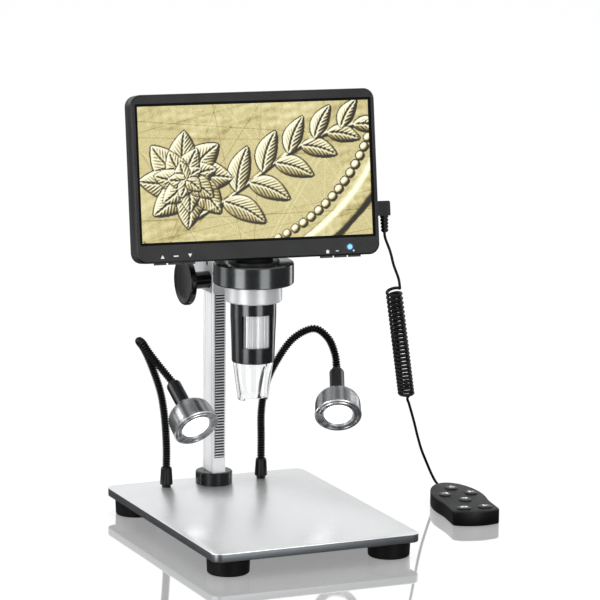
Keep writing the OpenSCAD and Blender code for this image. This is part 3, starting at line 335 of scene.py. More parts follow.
def even(line: np.ndarray, spacing: float) -> np.ndarray:
    """The same line with its points evenly spaced along its length.

    Args:
        line: The line's points, one row each.
        spacing: Distance between the new points, met as nearly as the length allows.

    Returns:
        The new points, one row each.
    """
    run = np.concatenate([[0], np.cumsum(np.linalg.norm(np.diff(line, axis=0), axis=1))])
    stations = np.linspace(0, run[-1], max(int(round(run[-1] / spacing)), 2) + 1)
    return np.stack([np.interp(stations, run, line[:, k]) for k in range(3)], 1)


def tube(
    name: str, line: np.ndarray, radius: float | np.ndarray, sides: int = 12, sharp: float = 60.0
) -> bpy.types.Object:
    """Carries a circle along a line.

    The circle's first axis is the tangent crossed with FIRST_SIDE, turned station by station
    so that it never twists: each axis is the last one less its part along the new tangent.

    Args:
        name: Name of the piece.
        line: The line's points on the drawing, in millimetres.
        radius: One radius, or one for each point.
        sides: Corners of the circle.
        sharp: Angle in degrees from which an edge is shaded sharp.

    Returns:
        The new object.
    """
    tangent = np.gradient(line, axis=0)
    tangent /= np.linalg.norm(tangent, axis=1)[:, None]
    side = np.empty_like(line)
    axis = np.cross(tangent[0], FIRST_SIDE)
    for k, way in enumerate(tangent):
        axis = axis - (axis @ way) * way
        axis /= np.linalg.norm(axis)
        side[k] = axis
    other = np.cross(tangent, side)
    angle = np.linspace(0, 2 * np.pi, sides, endpoint=False)
    radii = np.broadcast_to(radius, len(line))[:, None, None]
    circle = np.cos(angle)[None, :, None] * side[:, None] + np.sin(angle)[None, :, None] * other[:, None]
    return grid_piece(name, (line[:, None] + radii * circle) * MM, sharp=sharp)


def face_centres(piece: bpy.types.Object, place: Placement) -> np.ndarray:
    """Centres of a piece's faces.

    Args:
        piece: The object, which stands at the origin.
        place: The place in whose axes the centres are given.

    Returns:
        One row for each face, in millimetres.
    """
    centres = np.empty(len(piece.data.polygons) * 3)
    piece.data.polygons.foreach_get("center", centres)
    return place.local(centres.reshape(-1, 3))


# Finishes -------------------------------------------------------------------------------------


class Shader:
    """A principled material that is built socket by socket."""

    noise_band: Band = (0.3, 0.7)

    def __init__(self, name: str, colour: Colour, **sockets: float) -> None:
        """Starts the material.

        Args:
            name: Name of the material.
            colour: Base colour, linear.
            **sockets: Other numbers, with underscores for the spaces of a socket's name.
        """
        self.material = bpy.data.materials.new(name)
        self.material.use_nodes = True
        self.tree = self.material.node_tree
        self.surface = self.tree.nodes["Principled BSDF"]
        self.surface.inputs["Base Color"].default_value = (*colour, 1)
        for socket, value in sockets.items():
            self.surface.inputs[socket.replace("_", " ")].default_value = value

    def node(self, kind: str, **settings: object) -> bpy.types.Node:
        """Adds a node.

        Args:
            kind: Its type, without the prefix ShaderNode.
            **settings: Its properties, or its inputs where it has no such property.

        Returns:
            The new node.
        """
        made = self.tree.nodes.new("ShaderNode" + kind)
        for name, value in settings.items():
            if hasattr(made, name):
                setattr(made, name, value)
            else:
                made.inputs[name.replace("_", " ")].default_value = value
        return made

    def link(self, output: Socket, target: Socket | str) -> None:
        """Joins an output to an input, or to a named input of the surface."""
        self.tree.links.new(output, self.surface.inputs[target] if isinstance(target, str) else target)

    def join(self, *pairs: tuple[Socket, Socket | str]) -> None:
        """Joins the output of each pair to its input."""
        for output, target in pairs:
            self.link(output, target)

    def math(self, operation: str, *values: Socket | float) -> Socket:
        """Adds a calculation.

        Args:
            operation: Its name, as the node has it.
            *values: The outputs or numbers that it works on.

        Returns:
            Its result.
        """
        made = self.node("Math", operation=operation)
        for value, slot in zip(values, made.inputs):
            if isinstance(value, (int, float)):
                slot.default_value = value
            else:
                self.link(value, slot)
        return made.outputs[0]

    def stretched(self, place: Socket, scale: Point) -> Socket:
        """Stretches coordinates.

        Args:
            place: The coordinates.
            scale: Factor along each axis.

        Returns:
            The stretched coordinates.
        """
        mapping = self.node("Mapping")
        mapping.inputs["Scale"].default_value = scale
        self.link(place, mapping.inputs["Vector"])
        return mapping.outputs["Vector"]

    def noise(
        self, scale: float, detail: float = 3, stretch: Point = (1, 1, 1), place: Socket | None = None
    ) -> Socket:
        """Adds noise.

        Args:
            scale: Features in a metre of object coordinates, or in a unit of the given ones.
            detail: Octaves of finer noise.
            stretch: Factor along each axis.
            place: Coordinates; object coordinates where there are none.

        Returns:
            The noise, which mostly lies in the noise band.
        """
        where = self.node("TexCoord").outputs["Object"] if place is None else place
        made = self.node("TexNoise", Scale=scale, Detail=detail)
        self.link(self.stretched(where, stretch), made.inputs["Vector"])
        return made.outputs["Fac"]

    def ramp(self, factor: Socket, stops: Sequence[tuple[float, Colour]]) -> Socket:
        """Adds colours along a factor.

        Args:
            factor: The factor.
            stops: Place and colour of each stop, in order.

        Returns:
            The colour.
        """
        made = self.node("ValToRGB")
        elements = made.color_ramp.elements
        for element, (at, colour) in ((elements[0], stops[0]), (elements[-1], stops[-1])):
            element.position = at
            element.color = (*colour, 1)
        for at, colour in stops[1:-1]:
            elements.new(at).color = (*colour, 1)
        self.link(factor, made.inputs["Fac"])
        return made.outputs["Color"]

    def spread(self, factor: Socket, low: float, high: float, band: Band = noise_band) -> Socket:
        """Takes a band of a factor to other numbers, and holds it at their ends.

        Args:
            factor: The factor.
            low: Number at the band's start.
            high: Number at its end.
            band: The band.

        Returns:
            The new number.
        """
        made = self.node("MapRange")
        numbers = {"From Min": band[0], "From Max": band[1], "To Min": low, "To Max": high}
        for name, value in numbers.items():
            made.inputs[name].default_value = value
        self.link(factor, made.inputs["Value"])
        return made.outputs["Result"]

    def tone(self, factor: Socket, dark: Colour, light: Colour, band: Band = noise_band) -> None:
        """Colours the surface from dark to light along a band of a factor."""
        self.link(self.ramp(factor, [(band[0], dark), (band[1], light)]), "Base Color")

    def vary(self, factor: Socket, colour: Colour, share: float) -> None:
        """Colours the surface from a share darker to a share lighter along a noise."""
        self.tone(factor, tinted(colour, 1 - share), tinted(colour, 1 + share))

    def gloss(self, factor: Socket, roughness: float, shares: Band) -> None:
        """Spreads the roughness from one share of itself to another along a noise."""
        self.link(self.spread(factor, roughness * shares[0], roughness * shares[1]), "Roughness")

    def bump(self, height: Socket, depth: float, strength: float) -> None:
        """Lets a height stand out of the surface.

        Args:
            height: The height, from 0 to 1.
            depth: What 1 stands for, in metres.
            strength: Share of the effect that is used.
        """
        made = self.node("Bump", Strength=strength, Distance=depth)
        self.join((height, made.inputs["Height"]), (made.outputs["Normal"], "Normal"))


@dataclass(frozen=True)
class MouldedPlastic:
    """Moulded plastic with a fine spark-eroded grain and slight cloudiness."""

    colour: Colour
    roughness: float = 0.45
    grain: float = 0.00004
    grain_scale: float = 2600
    mottle: float = 0.12
    specular: float = 0.45
    patch_share: float = 0.35
    cloud_scale: float = 60
    uneven: Band = (0.9, 1.12)

    def make(self, name: str) -> bpy.types.Material:
        """Makes the material: mottled colour, uneven gloss and grain.

        Args:
            name: Name of the material.

        Returns:
            The new material.
        """
        shader = Shader(name, self.colour, Specular_IOR_Level=self.specular)
        shader.vary(shader.noise(self.grain_scale * self.patch_share, 4), self.colour, self.mottle)
        shader.gloss(shader.noise(self.cloud_scale), self.roughness, self.uneven)
        shader.bump(shader.noise(self.grain_scale, 2), self.grain, strength=0.5)
        return shader.material


@dataclass(frozen=True)
class SatinMetal:
    """Ground or anodised metal with fine lines along one direction."""

    colour: Colour
    roughness: float = 0.35
    lines: Point = (1, 1, 60)
    line_scale: float = 40
    metallic: float = 0.9
    depth: float = 0.00001
    variation: float = 0.06
    uneven: Band = (0.85, 1.2)

    def make(self, name: str) -> bpy.types.Material:
        """Makes the material: lines in the colour, the gloss and the surface.

        Args:
            name: Name of the material.

        Returns:
            The new material.
        """
        shader = Shader(name, self.colour, Metallic=self.metallic)
        streak = shader.noise(self.line_scale, 5, self.lines)
        shader.vary(streak, self.colour, self.variation)
        shader.gloss(streak, self.roughness, self.uneven)
        shader.bump(streak, self.depth, strength=0.4)
        return shader.material


@dataclass(frozen=True)
class FineMetal(SatinMetal):
    """Anodised metal with a fine, even grain and no lines."""

    lines: Point = (1, 1, 1)
    line_scale: float = 1800
    depth: float = 0.0000002
    variation: float = 0.05


@dataclass(frozen=True)
class RootShadedRack:
    """Machined rack metal with painted shade: darker with depth behind the tooth tips, darkest at the
    roots.
    """

    colour: Colour
    tip: float = 0.0674
    root: float = 0.0685
    plain_top: float = 0.035
    flank_shade: Colour = hexed("8c8e90")
    root_shade: Colour = hexed("2a2a2b")
    roughness: Band = (0.28, 0.42)
    metallic: float = 0.15
    lines: Point = (1, 1, 40)
    line_scale: float = 30

    def make(self, name: str) -> bpy.types.Material:
        """Makes the material: painted shade by depth behind the tips, with fine machining lines.

        Args:
            name: Name of the material.

        Returns:
            The new material.
        """
        shader = Shader(name, self.colour, Metallic=self.metallic)
        split = shader.node("SeparateXYZ")
        shader.link(shader.node("TexCoord").outputs["Object"], split.inputs[0])
        # Painted shade: the colour darkens with depth behind the tooth tips, blackest in the roots.
        deep = shader.spread(split.outputs["Y"], 0, 1, (self.tip, self.root))
        toothed = shader.math("GREATER_THAN", split.outputs["Z"], self.plain_top)
        share = shader.math("MULTIPLY", toothed, deep)
        stops = [(0.1, self.colour), (0.55, self.flank_shade), (0.95, self.root_shade)]
        lines = shader.noise(self.line_scale, 5, self.lines)
        shader.link(shader.ramp(share, stops), "Base Color")
        shader.link(shader.spread(lines, *self.roughness), "Roughness")
        return shader.material


@dataclass(frozen=True)
class SpunMetal:
    """Metal turned on a lathe, with fine rings and painted highlight: dark and pale streaks round its axis.
    """

    colour: Colour
    roughness: float = 0.3
    rings: float = 260
    ring_waves: float = 0.4
    anisotropy: float = 0.75
    painted_ray_scale: float = 2.8
    painted_ray_shares: Band = (0.5, 1.9)
    painted_ray_band: Band = (0.36, 0.66)
    metallic: float = 0.8
    depth: float = 0.000004
    uneven: Band = (0.85, 1.15)

    def make(self, name: str) -> bpy.types.Material:
        """Makes the material on the piece's own map, whose U runs once round the axis.

        The rings are noise stretched along U. The painted highlight is noise on the circle (cos 2 pi U, sin
        2 pi U).

        Args:
            name: Name of the material.

        Returns:
            The new material.
        """
        shader = Shader(
            name,
            self.colour,
            Metallic=self.metallic,
            Anisotropic=self.anisotropy,
            Anisotropic_Rotation=0.25,
        )
        where = shader.node("UVMap", uv_map="UVMap").outputs["UV"]
        tangent = shader.node("Tangent", direction_type="UV_MAP", uv_map="UVMap").outputs["Tangent"]
        split, circle = shader.node("SeparateXYZ"), shader.node("CombineXYZ")
        shader.join((tangent, "Tangent"), (where, split.inputs[0]))
        angle = shader.math("MULTIPLY", split.outputs["X"], 2 * math.pi)
        shader.link(shader.math("COSINE", angle), circle.inputs["X"])
        shader.link(shader.math("SINE", angle), circle.inputs["Y"])
        # Painted highlight: the colour runs from a dark to a pale share of itself round the axis.
        dark, light = (tinted(self.colour, share) for share in self.painted_ray_shares)
        shader.tone(shader.noise(self.painted_ray_scale, 2, place=circle.outputs[0]), dark, light, self.painted_ray_band)
        rings = shader.noise(1, 4, (self.ring_waves, self.rings, 1), where)
        shader.gloss(rings, self.roughness, self.uneven)
        shader.bump(rings, self.depth, strength=0.3)
        return shader.material


@dataclass(frozen=True)
class Rubber:
    """Matte rubber, a little dusty."""

    colour: Colour
    roughness: float = 0.7
    specular: float = 0.2
    grain: float = 0.00003
    dust_share: float = 1.5
    dust: float = 0.002
    dust_band: Band = (0.35, 0.75)
    dust_scale: float = 420
    cloud_scale: float = 90
    grain_scale: float = 1800
    uneven: Band = (0.9, 1.1)

    def make(self, name: str) -> bpy.types.Material:
        """Makes the material: a soft, slightly uneven surface.

        Args:
            name: Name of the material.

        Returns:
            The new material.
        """
        shader = Shader(name, self.colour, Specular_IOR_Level=self.specular)
        dusty = tuple(min(c * self.dust_share + self.dust, 1) for c in self.colour)
        shader.tone(shader.noise(self.dust_scale, 4), self.colour, dusty, self.dust_band)
        shader.gloss(shader.noise(self.cloud_scale), self.roughness, self.uneven)
        shader.bump(shader.noise(self.grain_scale, 2), self.grain, strength=0.5)
        return shader.material


@dataclass(frozen=True)
class ClearPlastic:
    """Clear moulded plastic with faint flow lines."""

    colour: Colour
    roughness: float = 0.03
    index: float = 1.46
    wave: float = 0.00006
    flow: Point = (1, 1, 6)
    flow_scale: float = 45
    uneven: Band = (0.8, 1.3)

    def make(self, name: str) -> bpy.types.Material:
        """Makes the material: see-through, with flow lines in the gloss and the surface.

        Args:
            name: Name of the material.

        Returns:
            The new material.
        """
        shader = Shader(name, self.colour, IOR=self.index, Transmission_Weight=1.0)
        flow = shader.noise(self.flow_scale, 3, self.flow)
        shader.gloss(flow, self.roughness, self.uneven)
        shader.bump(flow, self.wave, strength=0.35)
        return shader.material


@dataclass(frozen=True)
class Glow:
    """A lit window: an even light with slightly dimmer specks."""

    colour: Colour
    strength: float
    body: Colour = (0.8, 0.8, 0.8)
    dim: float = 0.94
    speck_scale: float = 900

    def make(self, name: str) -> bpy.types.Material:
        """Makes the material: a diffusing surface that gives its own light.

        Args:
            name: Name of the material.

        Returns:
            The new material.
        """
        shader = Shader(name, self.body, Roughness=0.35, Emission_Strength=self.strength)
        low, high = shader.noise_band
        stops = [(low, tinted(self.colour, self.dim)), (high, self.colour)]
        shader.link(shader.ramp(shader.noise(self.speck_scale, 2), stops), "Emission Color")
        return shader.material


@dataclass(frozen=True)
class PictureGlass:
    """A lit display under glass; its picture is the mesh's own colour."""

    attribute: str = "Picture"
    colour: Colour = (0.01, 0.01, 0.01)
    roughness: float = 0.25
    specular: float = 0.2

    def make(self, name: str) -> bpy.types.Material:
        """Makes the material: the picture as light, with the gloss of the glass.

        Args:
            name: Name of the material.

        Returns:
            The new material.
        """
        shader = Shader(
            name,
            self.colour,
            Roughness=self.roughness,
            Emission_Strength=1.0,
            Specular_IOR_Level=self.specular,
        )
        picture = shader.node("VertexColor", layer_name=self.attribute)
        shader.link(picture.outputs["Color"], "Emission Color")
        return shader.material


BOARD_GREEN = MouldedPlastic((0.02, 0.09, 0.03), 0.4)
SCREW_BLACK = SatinMetal((0.03, 0.03, 0.03), 0.3)
JET: Colour = (0.004, 0.004, 0.005)


def dress(material: bpy.types.Material, *nodes: str) -> None:
    """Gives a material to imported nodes.

    Args:
        material: The finish.
        *nodes: Names of the nodes.
    """
    for node in nodes:
        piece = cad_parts[node]
        if not piece.material_slots:
            piece.data.materials.append(material)
        for place in piece.material_slots:
            place.material = material


def finished(
    piece: bpy.types.Object, material: bpy.types.Material, body: str | None, slot: str, *replaced: str
) -> bpy.types.Object:
    """Dresses a new piece, seats it on its body and hides the nodes that it stands for.

    Args:
        piece: The new object.
        material: Its finish.
        body: The body that it rides on, or None to leave it unattached.
        slot: A material slot name; not used.
        *replaced: Nodes that it stands for.

    Returns:
        The same object.
    """
    piece.data.materials.append(material)
    if body:
        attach(piece, body)
    if replaced:
        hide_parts(*replaced)
    LOG.info("%s: %d points", piece.name, len(piece.data.vertices))
    return piece


def faced(piece: bpy.types.Object, faces: np.ndarray, *materials: bpy.types.Material) -> None:
    """Gives further finishes to some faces of a piece.

    Args:
        piece: The piece, dressed in its first finish.
        faces: For each face 0 for the first finish, 1 for the next one and so on.
        *materials: The further finishes.
    """
    for material in materials:
        piece.data.materials.append(material)
    piece.data.polygons.foreach_set("material_index", faces.astype(np.int32))


# Studio ---------------------------------------------------------------------------------------


@dataclass(frozen=True)
class Softbox:
    """A soft lamp that faces a spot, placed by its direction from it.

    A card shows in gloss alone, and a lamp without gloss lights but doesn't mirror.
    """

    azimuth: float
    elevation: float
    distance: float
    width: float
    height: float
    power: float
    about: Point = (27.2, 0, 152)
    card: bool = False
    gloss: bool = True


def stood(data: bpy.types.ID, axes: Sequence[np.ndarray], spot: np.ndarray) -> bpy.types.Object:
    """Stands a camera or a lamp in the scene.

    Args:
        data: The camera or the lamp.
        axes: Its right, its up and its back, as directions of the scene.
        spot: Its place, in millimetres.

    Returns:
        The new object, with the name of its data.
    """
    made = bpy.data.objects.new(data.name, data)
    bpy.context.scene.collection.objects.link(made)
    matrix = Matrix(np.column_stack(axes).tolist()).to_4x4()
    matrix.translation = (spot * MM).tolist()
    made.matrix_world = matrix
    return made


@dataclass
class Studio:
    """Camera, soft lamps, reflector cards and a pale floor."""

    azimuth: float = -23.75
    elevation: float = 11.0
    roll: float = 0.47
    distance: float = 2345
    target: Point = (27.2, 0, 152)
    focal: float = 219.12
    sensor: float = 36
    reach: float = 20000
    ambient: float = 0.62
    sheen: float = 0.88
    floor_half: float = 4000
    floor_colour: Colour = (0.95, 0.95, 0.95)
    floor_lift: float = 0.275
    floor_mirror: float = 0.8
    floor_shine: float = 0.1
    lamps: tuple[Softbox, ...] = (
        Softbox(150, 68, 2300, 1500, 1500, 25, gloss=False),
        Softbox(6, 14, 2100, 260, 1300, 5),
        Softbox(-112, 12, 1800, 420, 1500, 13),
        Softbox(104, 12, 1800, 320, 1500, 6),
        Softbox(-116, 0, 450, 160, 120, 0.12, about=(27, 0, 60), card=True),
        Softbox(-64, 0, 450, 200, 120, 0.45, about=(27, 0, 60), card=True),
        Softbox(6, 0, 450, 220, 120, 0.33, about=(27, 0, 60), card=True),
        Softbox(112, 0, 450, 90, 120, 0.12, about=(27, 0, 60), card=True),
        Softbox(-71, 0, 450, 90, 220, 0.35, about=(27, 0, 270), card=True),
        Softbox(-156, 0, 450, 320, 120, 0.02, about=(27, 0, 60), card=True),
        Softbox(-66, 5, 60, 30, 24, 0.01, about=(-67, -92, 14), card=True),
    )

    @staticmethod
    def towards(azimuth: float, elevation: float) -> np.ndarray:
        """Direction from the object to a place: azimuth 0 is the front, 90 the right."""
        a, e = math.radians(azimuth), math.radians(elevation)
        return np.array([math.sin(a) * math.cos(e), -math.cos(a) * math.cos(e), math.sin(e)])

    def camera(self) -> None:
        """Makes the camera: it looks along -back at the target, turned by the roll."""
        back = self.towards(self.azimuth, self.elevation)
        right = np.cross(-back, [0, 0, 1])
        right /= np.linalg.norm(right)
        up = np.cross(right, -back)
        r = math.radians(self.roll)
        right, up = math.cos(r) * right + math.sin(r) * up, -math.sin(r) * right + math.cos(r) * up
        data = bpy.data.cameras.new("camera")
        data.lens, data.sensor_width, data.clip_end = self.focal, self.sensor, self.reach * MM
        eye = np.array(self.target) + back * self.distance
        bpy.context.scene.camera = stood(data, (right, up, back), eye)

    def world(self) -> None:
        """Makes the world: an even grey as soft light, paler to reflections, and white where it is seen.

        For each kind of ray in turn, its share takes the level so far to the kind's own level.
        """
        bpy.context.scene.view_settings.view_transform = "Standard"
        world = bpy.data.worlds.new("studio")
        bpy.context.scene.world = world
        world.use_nodes = True
        tree = world.node_tree
        sky = tree.nodes["Background"]
        sky.inputs["Color"].default_value = (1, 1, 1, 1)
        path = tree.nodes.new("ShaderNodeLightPath")
        level: Socket | None = None
        for ray, high in (("Is Glossy Ray", self.sheen), ("Is Transmission Ray", 1), ("Is Camera Ray", 1)):
            step = tree.nodes.new("ShaderNodeMapRange")
            step.inputs["To Min"].default_value = self.ambient
            step.inputs["To Max"].default_value = high
            if level is not None:
                tree.links.new(level, step.inputs["To Min"])
            tree.links.new(path.outputs[ray], step.inputs["Value"])
            level = step.outputs["Result"]
        tree.links.new(level, sky.inputs["Strength"])

    def light(self) -> None:
        """Makes the soft lamps and the cards."""
        for k, box in enumerate(self.lamps):
            data = bpy.data.lights.new(f"softbox_{k}", "AREA")
            data.shape, data.size, data.size_y = "RECTANGLE", box.width * MM, box.height * MM
            data.energy = box.power
            way = self.towards(box.azimuth, box.elevation)
            side = np.cross([0, 0, 1], way)
            side /= np.linalg.norm(side)
            spot = np.array(box.about) + way * box.distance
            lamp = stood(data, (side, np.cross(way, side), way), spot)
            lamp.visible_camera = False
            lamp.visible_diffuse = not box.card
            lamp.visible_glossy = box.gloss

    def floor(self) -> None:
        """Lays the floor.

        It is a pale glossy sheet with the object's shadow and reflection. The camera and clear pieces
        see it a little lighter, and reflections see it dim.
        """
        mesh = bpy.data.meshes.new("floor")
        far = self.floor_half * MM
        corners = [(-far, -far, 0), (far, -far, 0), (far, far, 0), (-far, far, 0)]
        mesh.from_pydata(corners, [], [(0, 1, 2, 3)])
        floor = bpy.data.objects.new("floor", mesh)
        bpy.context.scene.collection.objects.link(floor)
        shader = Shader("floor_gloss", self.floor_colour, Roughness=0.06, Specular_IOR_Level=0.5)
        mirror = shader.node("BsdfGlossy", Roughness=0.04)
        lift, dim = (
            shader.node("Emission", Color=(1, 1, 1, 1), Strength=level)
            for level in (self.floor_lift, self.floor_shine)
        )
        path = shader.node("LightPath")
        mirrored = shader.node("Math", operation="SUBTRACT", use_clamp=True)
        polished, mixed = (shader.node("MixShader") for _ in range(2))
        lifted = shader.node("AddShader")
        polished.inputs["Fac"].default_value = self.floor_mirror
        shader.join(
            (shader.surface.outputs[0], polished.inputs[1]),
            (mirror.outputs[0], polished.inputs[2]),
            (polished.outputs[0], lifted.inputs[0]),
            (lift.outputs[0], lifted.inputs[1]),
            (path.outputs["Is Glossy Ray"], mirrored.inputs[0]),
            (path.outputs["Is Transmission Ray"], mirrored.inputs[1]),
            (mirrored.outputs[0], mixed.inputs["Fac"]),
            (lifted.outputs[0], mixed.inputs[1]),
            (dim.outputs[0], mixed.inputs[2]),
            (mixed.outputs[0], shader.tree.nodes["Material Output"].inputs["Surface"]),
        )
        floor.data.materials.append(shader.material)

    def build(self) -> None:
        """Makes all of the studio."""
        self.camera()
        self.world()
        self.light()
        self.floor()


# Cord -----------------------------------------------------------------------------------------


@dataclass
class RemoteCord:
    """The remote's cord: a short tail, a coil and a run down to the remote."""

    radius: float = 0.9
    coil_wire: float = 1.05
    coil_radius: float = 4.55
    coil_top: Point = (92.5, -2, 155.3)
    coil_end: Point = (107.6, 8, 81.3)
    turns: int = 26
    upper_turns: int = 8
    turn_points: int = 18
    closing: float = 0.16
    sides: int = 10
    span_steps: int = 10
    tail_step: float = 1.2
    run_step: float = 1.5
    relief_mouth: tuple[Point, ...] = ((88.1, 12.5, -39.1), (88.1, 12.5, -45.6))
    tail_route: tuple[Point, ...] = ((89.5, -2.5, 180.2), (92.3, -2.2, 170.9), (96, -2, 161.7))
    run_route: tuple[Point, ...] = (
        (109.9, 11.2, 78.6), (112.4, 14.2, 74.2), (116.1, 18.5, 67.9), (122.2, 25.5, 57),
        (128.2, 32.9, 46.1), (135, 40.8, 34.7), (142.1, 47.3, 23.8), (148.2, 51.4, 13.8), (152.2, 53, 8),
    )
    remote_entry: tuple[Point, ...] = ((0, 80.5, 4.5), (0, 76, 4.5), (0, 73, 4.5))

    def coil_line(self) -> np.ndarray:
        """The coil's middle line, whose turns lie closer towards the lower end.

        At turn n the point is top + advance(n) * axis + radius * (cos a * side + sin a * across),
        with a the angle of n turns. With s the share of the turns, the advance is that of even turns
        plus closing * s * (1 - s) of the coil's room.

        Returns:
            The line's points on the drawing, from the top.
        """
        top, end = np.array(self.coil_top), np.array(self.coil_end)
        axis = (end - top) / np.linalg.norm(end - top)
        side = np.array([1.0, 0, 0]) - axis[0] * axis
        side /= np.linalg.norm(side)
        across = np.cross(axis, side)
        share = np.linspace(0, 1, self.turns * self.turn_points + 1)
        angle = -2 * np.pi * self.turns * share
        room = np.linalg.norm(end - top) - 2 * self.coil_wire
        advance = self.coil_wire + room * (share + self.closing * share * (1 - share))
        ring = np.cos(angle)[:, None] * side + np.sin(angle)[:, None] * across
        return top + advance[:, None] * axis + self.coil_radius * ring

    def build(self) -> None:
        """Makes the four stretches of the cord."""
        rubber = Rubber((0.003, 0.003, 0.0035), 0.45).make("cord_rubber")
        coil = self.coil_line()
        cut = self.upper_turns * self.turn_points
        mouth = MONITOR.points(np.array(self.relief_mouth))
        entry = REMOTE.points(np.array(self.remote_entry))
        tail = even(spline([*mouth, *self.tail_route, coil[0]], self.span_steps), self.tail_step)
        run = even(spline([coil[-1], *self.run_route, *entry], self.span_steps), self.run_step)
        stretches = (
            ("cord_tail", tail, "taut", ("head", "monitor"), "cord_upper"),
            ("coil_upper", coil[: cut + 1], "coiled", ("carriage", "head"), "cord_coil"),
            ("coil_lower", coil[cut:], "coiled", ("stand", "carriage"), "cord_coil"),
            ("cord_run", run, "hanging", None, "cord_lower"),
        )
        for name, line, lay, bodies, node in stretches:
            radius = self.coil_wire if lay == "coiled" else self.radius
            piece = tube(name, line, radius, self.sides)
            finished(piece, rubber, None if bodies else "stand", "cord", node)
            if bodies:
                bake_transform(piece)


# Stage and column -----------------------------------------------------------------------------


@dataclass
class StagePlate:
    """The metal stage on its rubber feet."""

    width: float = 141
    depth: float = 190
    low: float = 10.6
    high: float = 16.2
    corner: float = 6
    edge: float = 0.45
    rubber: Colour = (0.001, 0.001, 0.0012)

    def build(self) -> None:
        """Makes the plate with eased edges, a satin face and darker sides in painted shade."""
        edge = self.edge
        levels = [
            (edge, self.low), (0, self.low + edge), (0, self.high - edge),
            (edge * 0.3, self.high - edge * 0.3), (edge, self.high),
        ]
        plate = slab("stage_plate", rounded_rect(self.width, self.depth, self.corner), levels, DRAWING)
        satin = SatinMetal(
            hexed("eff0f1"), 0.31, lines=(1, 45, 1), line_scale=70, metallic=0.75, depth=2e-6,
            variation=0.015,
        )
        # The sides are painted shade: the plate's metal in a darker colour than its face.
        side = SatinMetal(
            hexed("575b5e"), 0.32, lines=(2, 2, 60), line_scale=60, metallic=0.7, variation=0.08
        )
        finished(plate, satin.make("stage_satin"), "stand", "stage", "base_plate")
        sides = face_centres(plate, DRAWING)[:, 2] < self.high - edge
        faced(plate, sides, side.make("stage_edge_painted_shade"))
        dress(Rubber(self.rubber, 0.45).make("foot_rubber"), "rubber_feet")
        dress(Rubber(self.rubber, 0.3).make("boot_rubber"), "lamp_boots")
        dress(SatinMetal(hexed("8a8d90")).make("screw_steel"), "base_screws")


@dataclass
class Column:
    """The grooved bar, its rack and the flange at its foot."""

    def build(self) -> None:
        """Dresses the column's nodes."""
        bar = SatinMetal(
            hexed("f2f3f4"), 0.3, lines=(60, 60, 1), line_scale=30, metallic=0.05, variation=0.03
        )
        flange = FineMetal(hexed("1c1d1f"), 0.24, line_scale=900, metallic=0.8, variation=0.06)
        dress(bar.make("bar_anodised"), "column")
        # The rack carries painted shade in its tooth roots.
        dress(RootShadedRack(hexed("f0f2f3")).make("rack_metal"), "rack")
        dress(flange.make("flange_black"), "column_flange")


@dataclass
class Carriage:
    """Block, ring holder and focus knob."""

    def build(self) -> None:
        """Dresses the carriage's nodes."""
        block = FineMetal(hexed("e0e2e3"), 0.32, line_scale=1500, metallic=0.3, variation=0.03)
        dress(block.make("block_satin"), "carriage_block")
        dress(FineMetal(hexed("525455"), 0.21).make("holder_anodised"), "ring_holder")
        dress(SCREW_BLACK.make("screw_black"), "carriage_screws")
        dress(MouldedPlastic(JET, 0.2, 0.00001).make("knob_gloss"), "focus_knob")
        dress(SatinMetal(hexed("9a9da0"), 0.3).make("pinion_steel"), "pinion_shaft")


# Tube -----------------------------------------------------------------------------------------


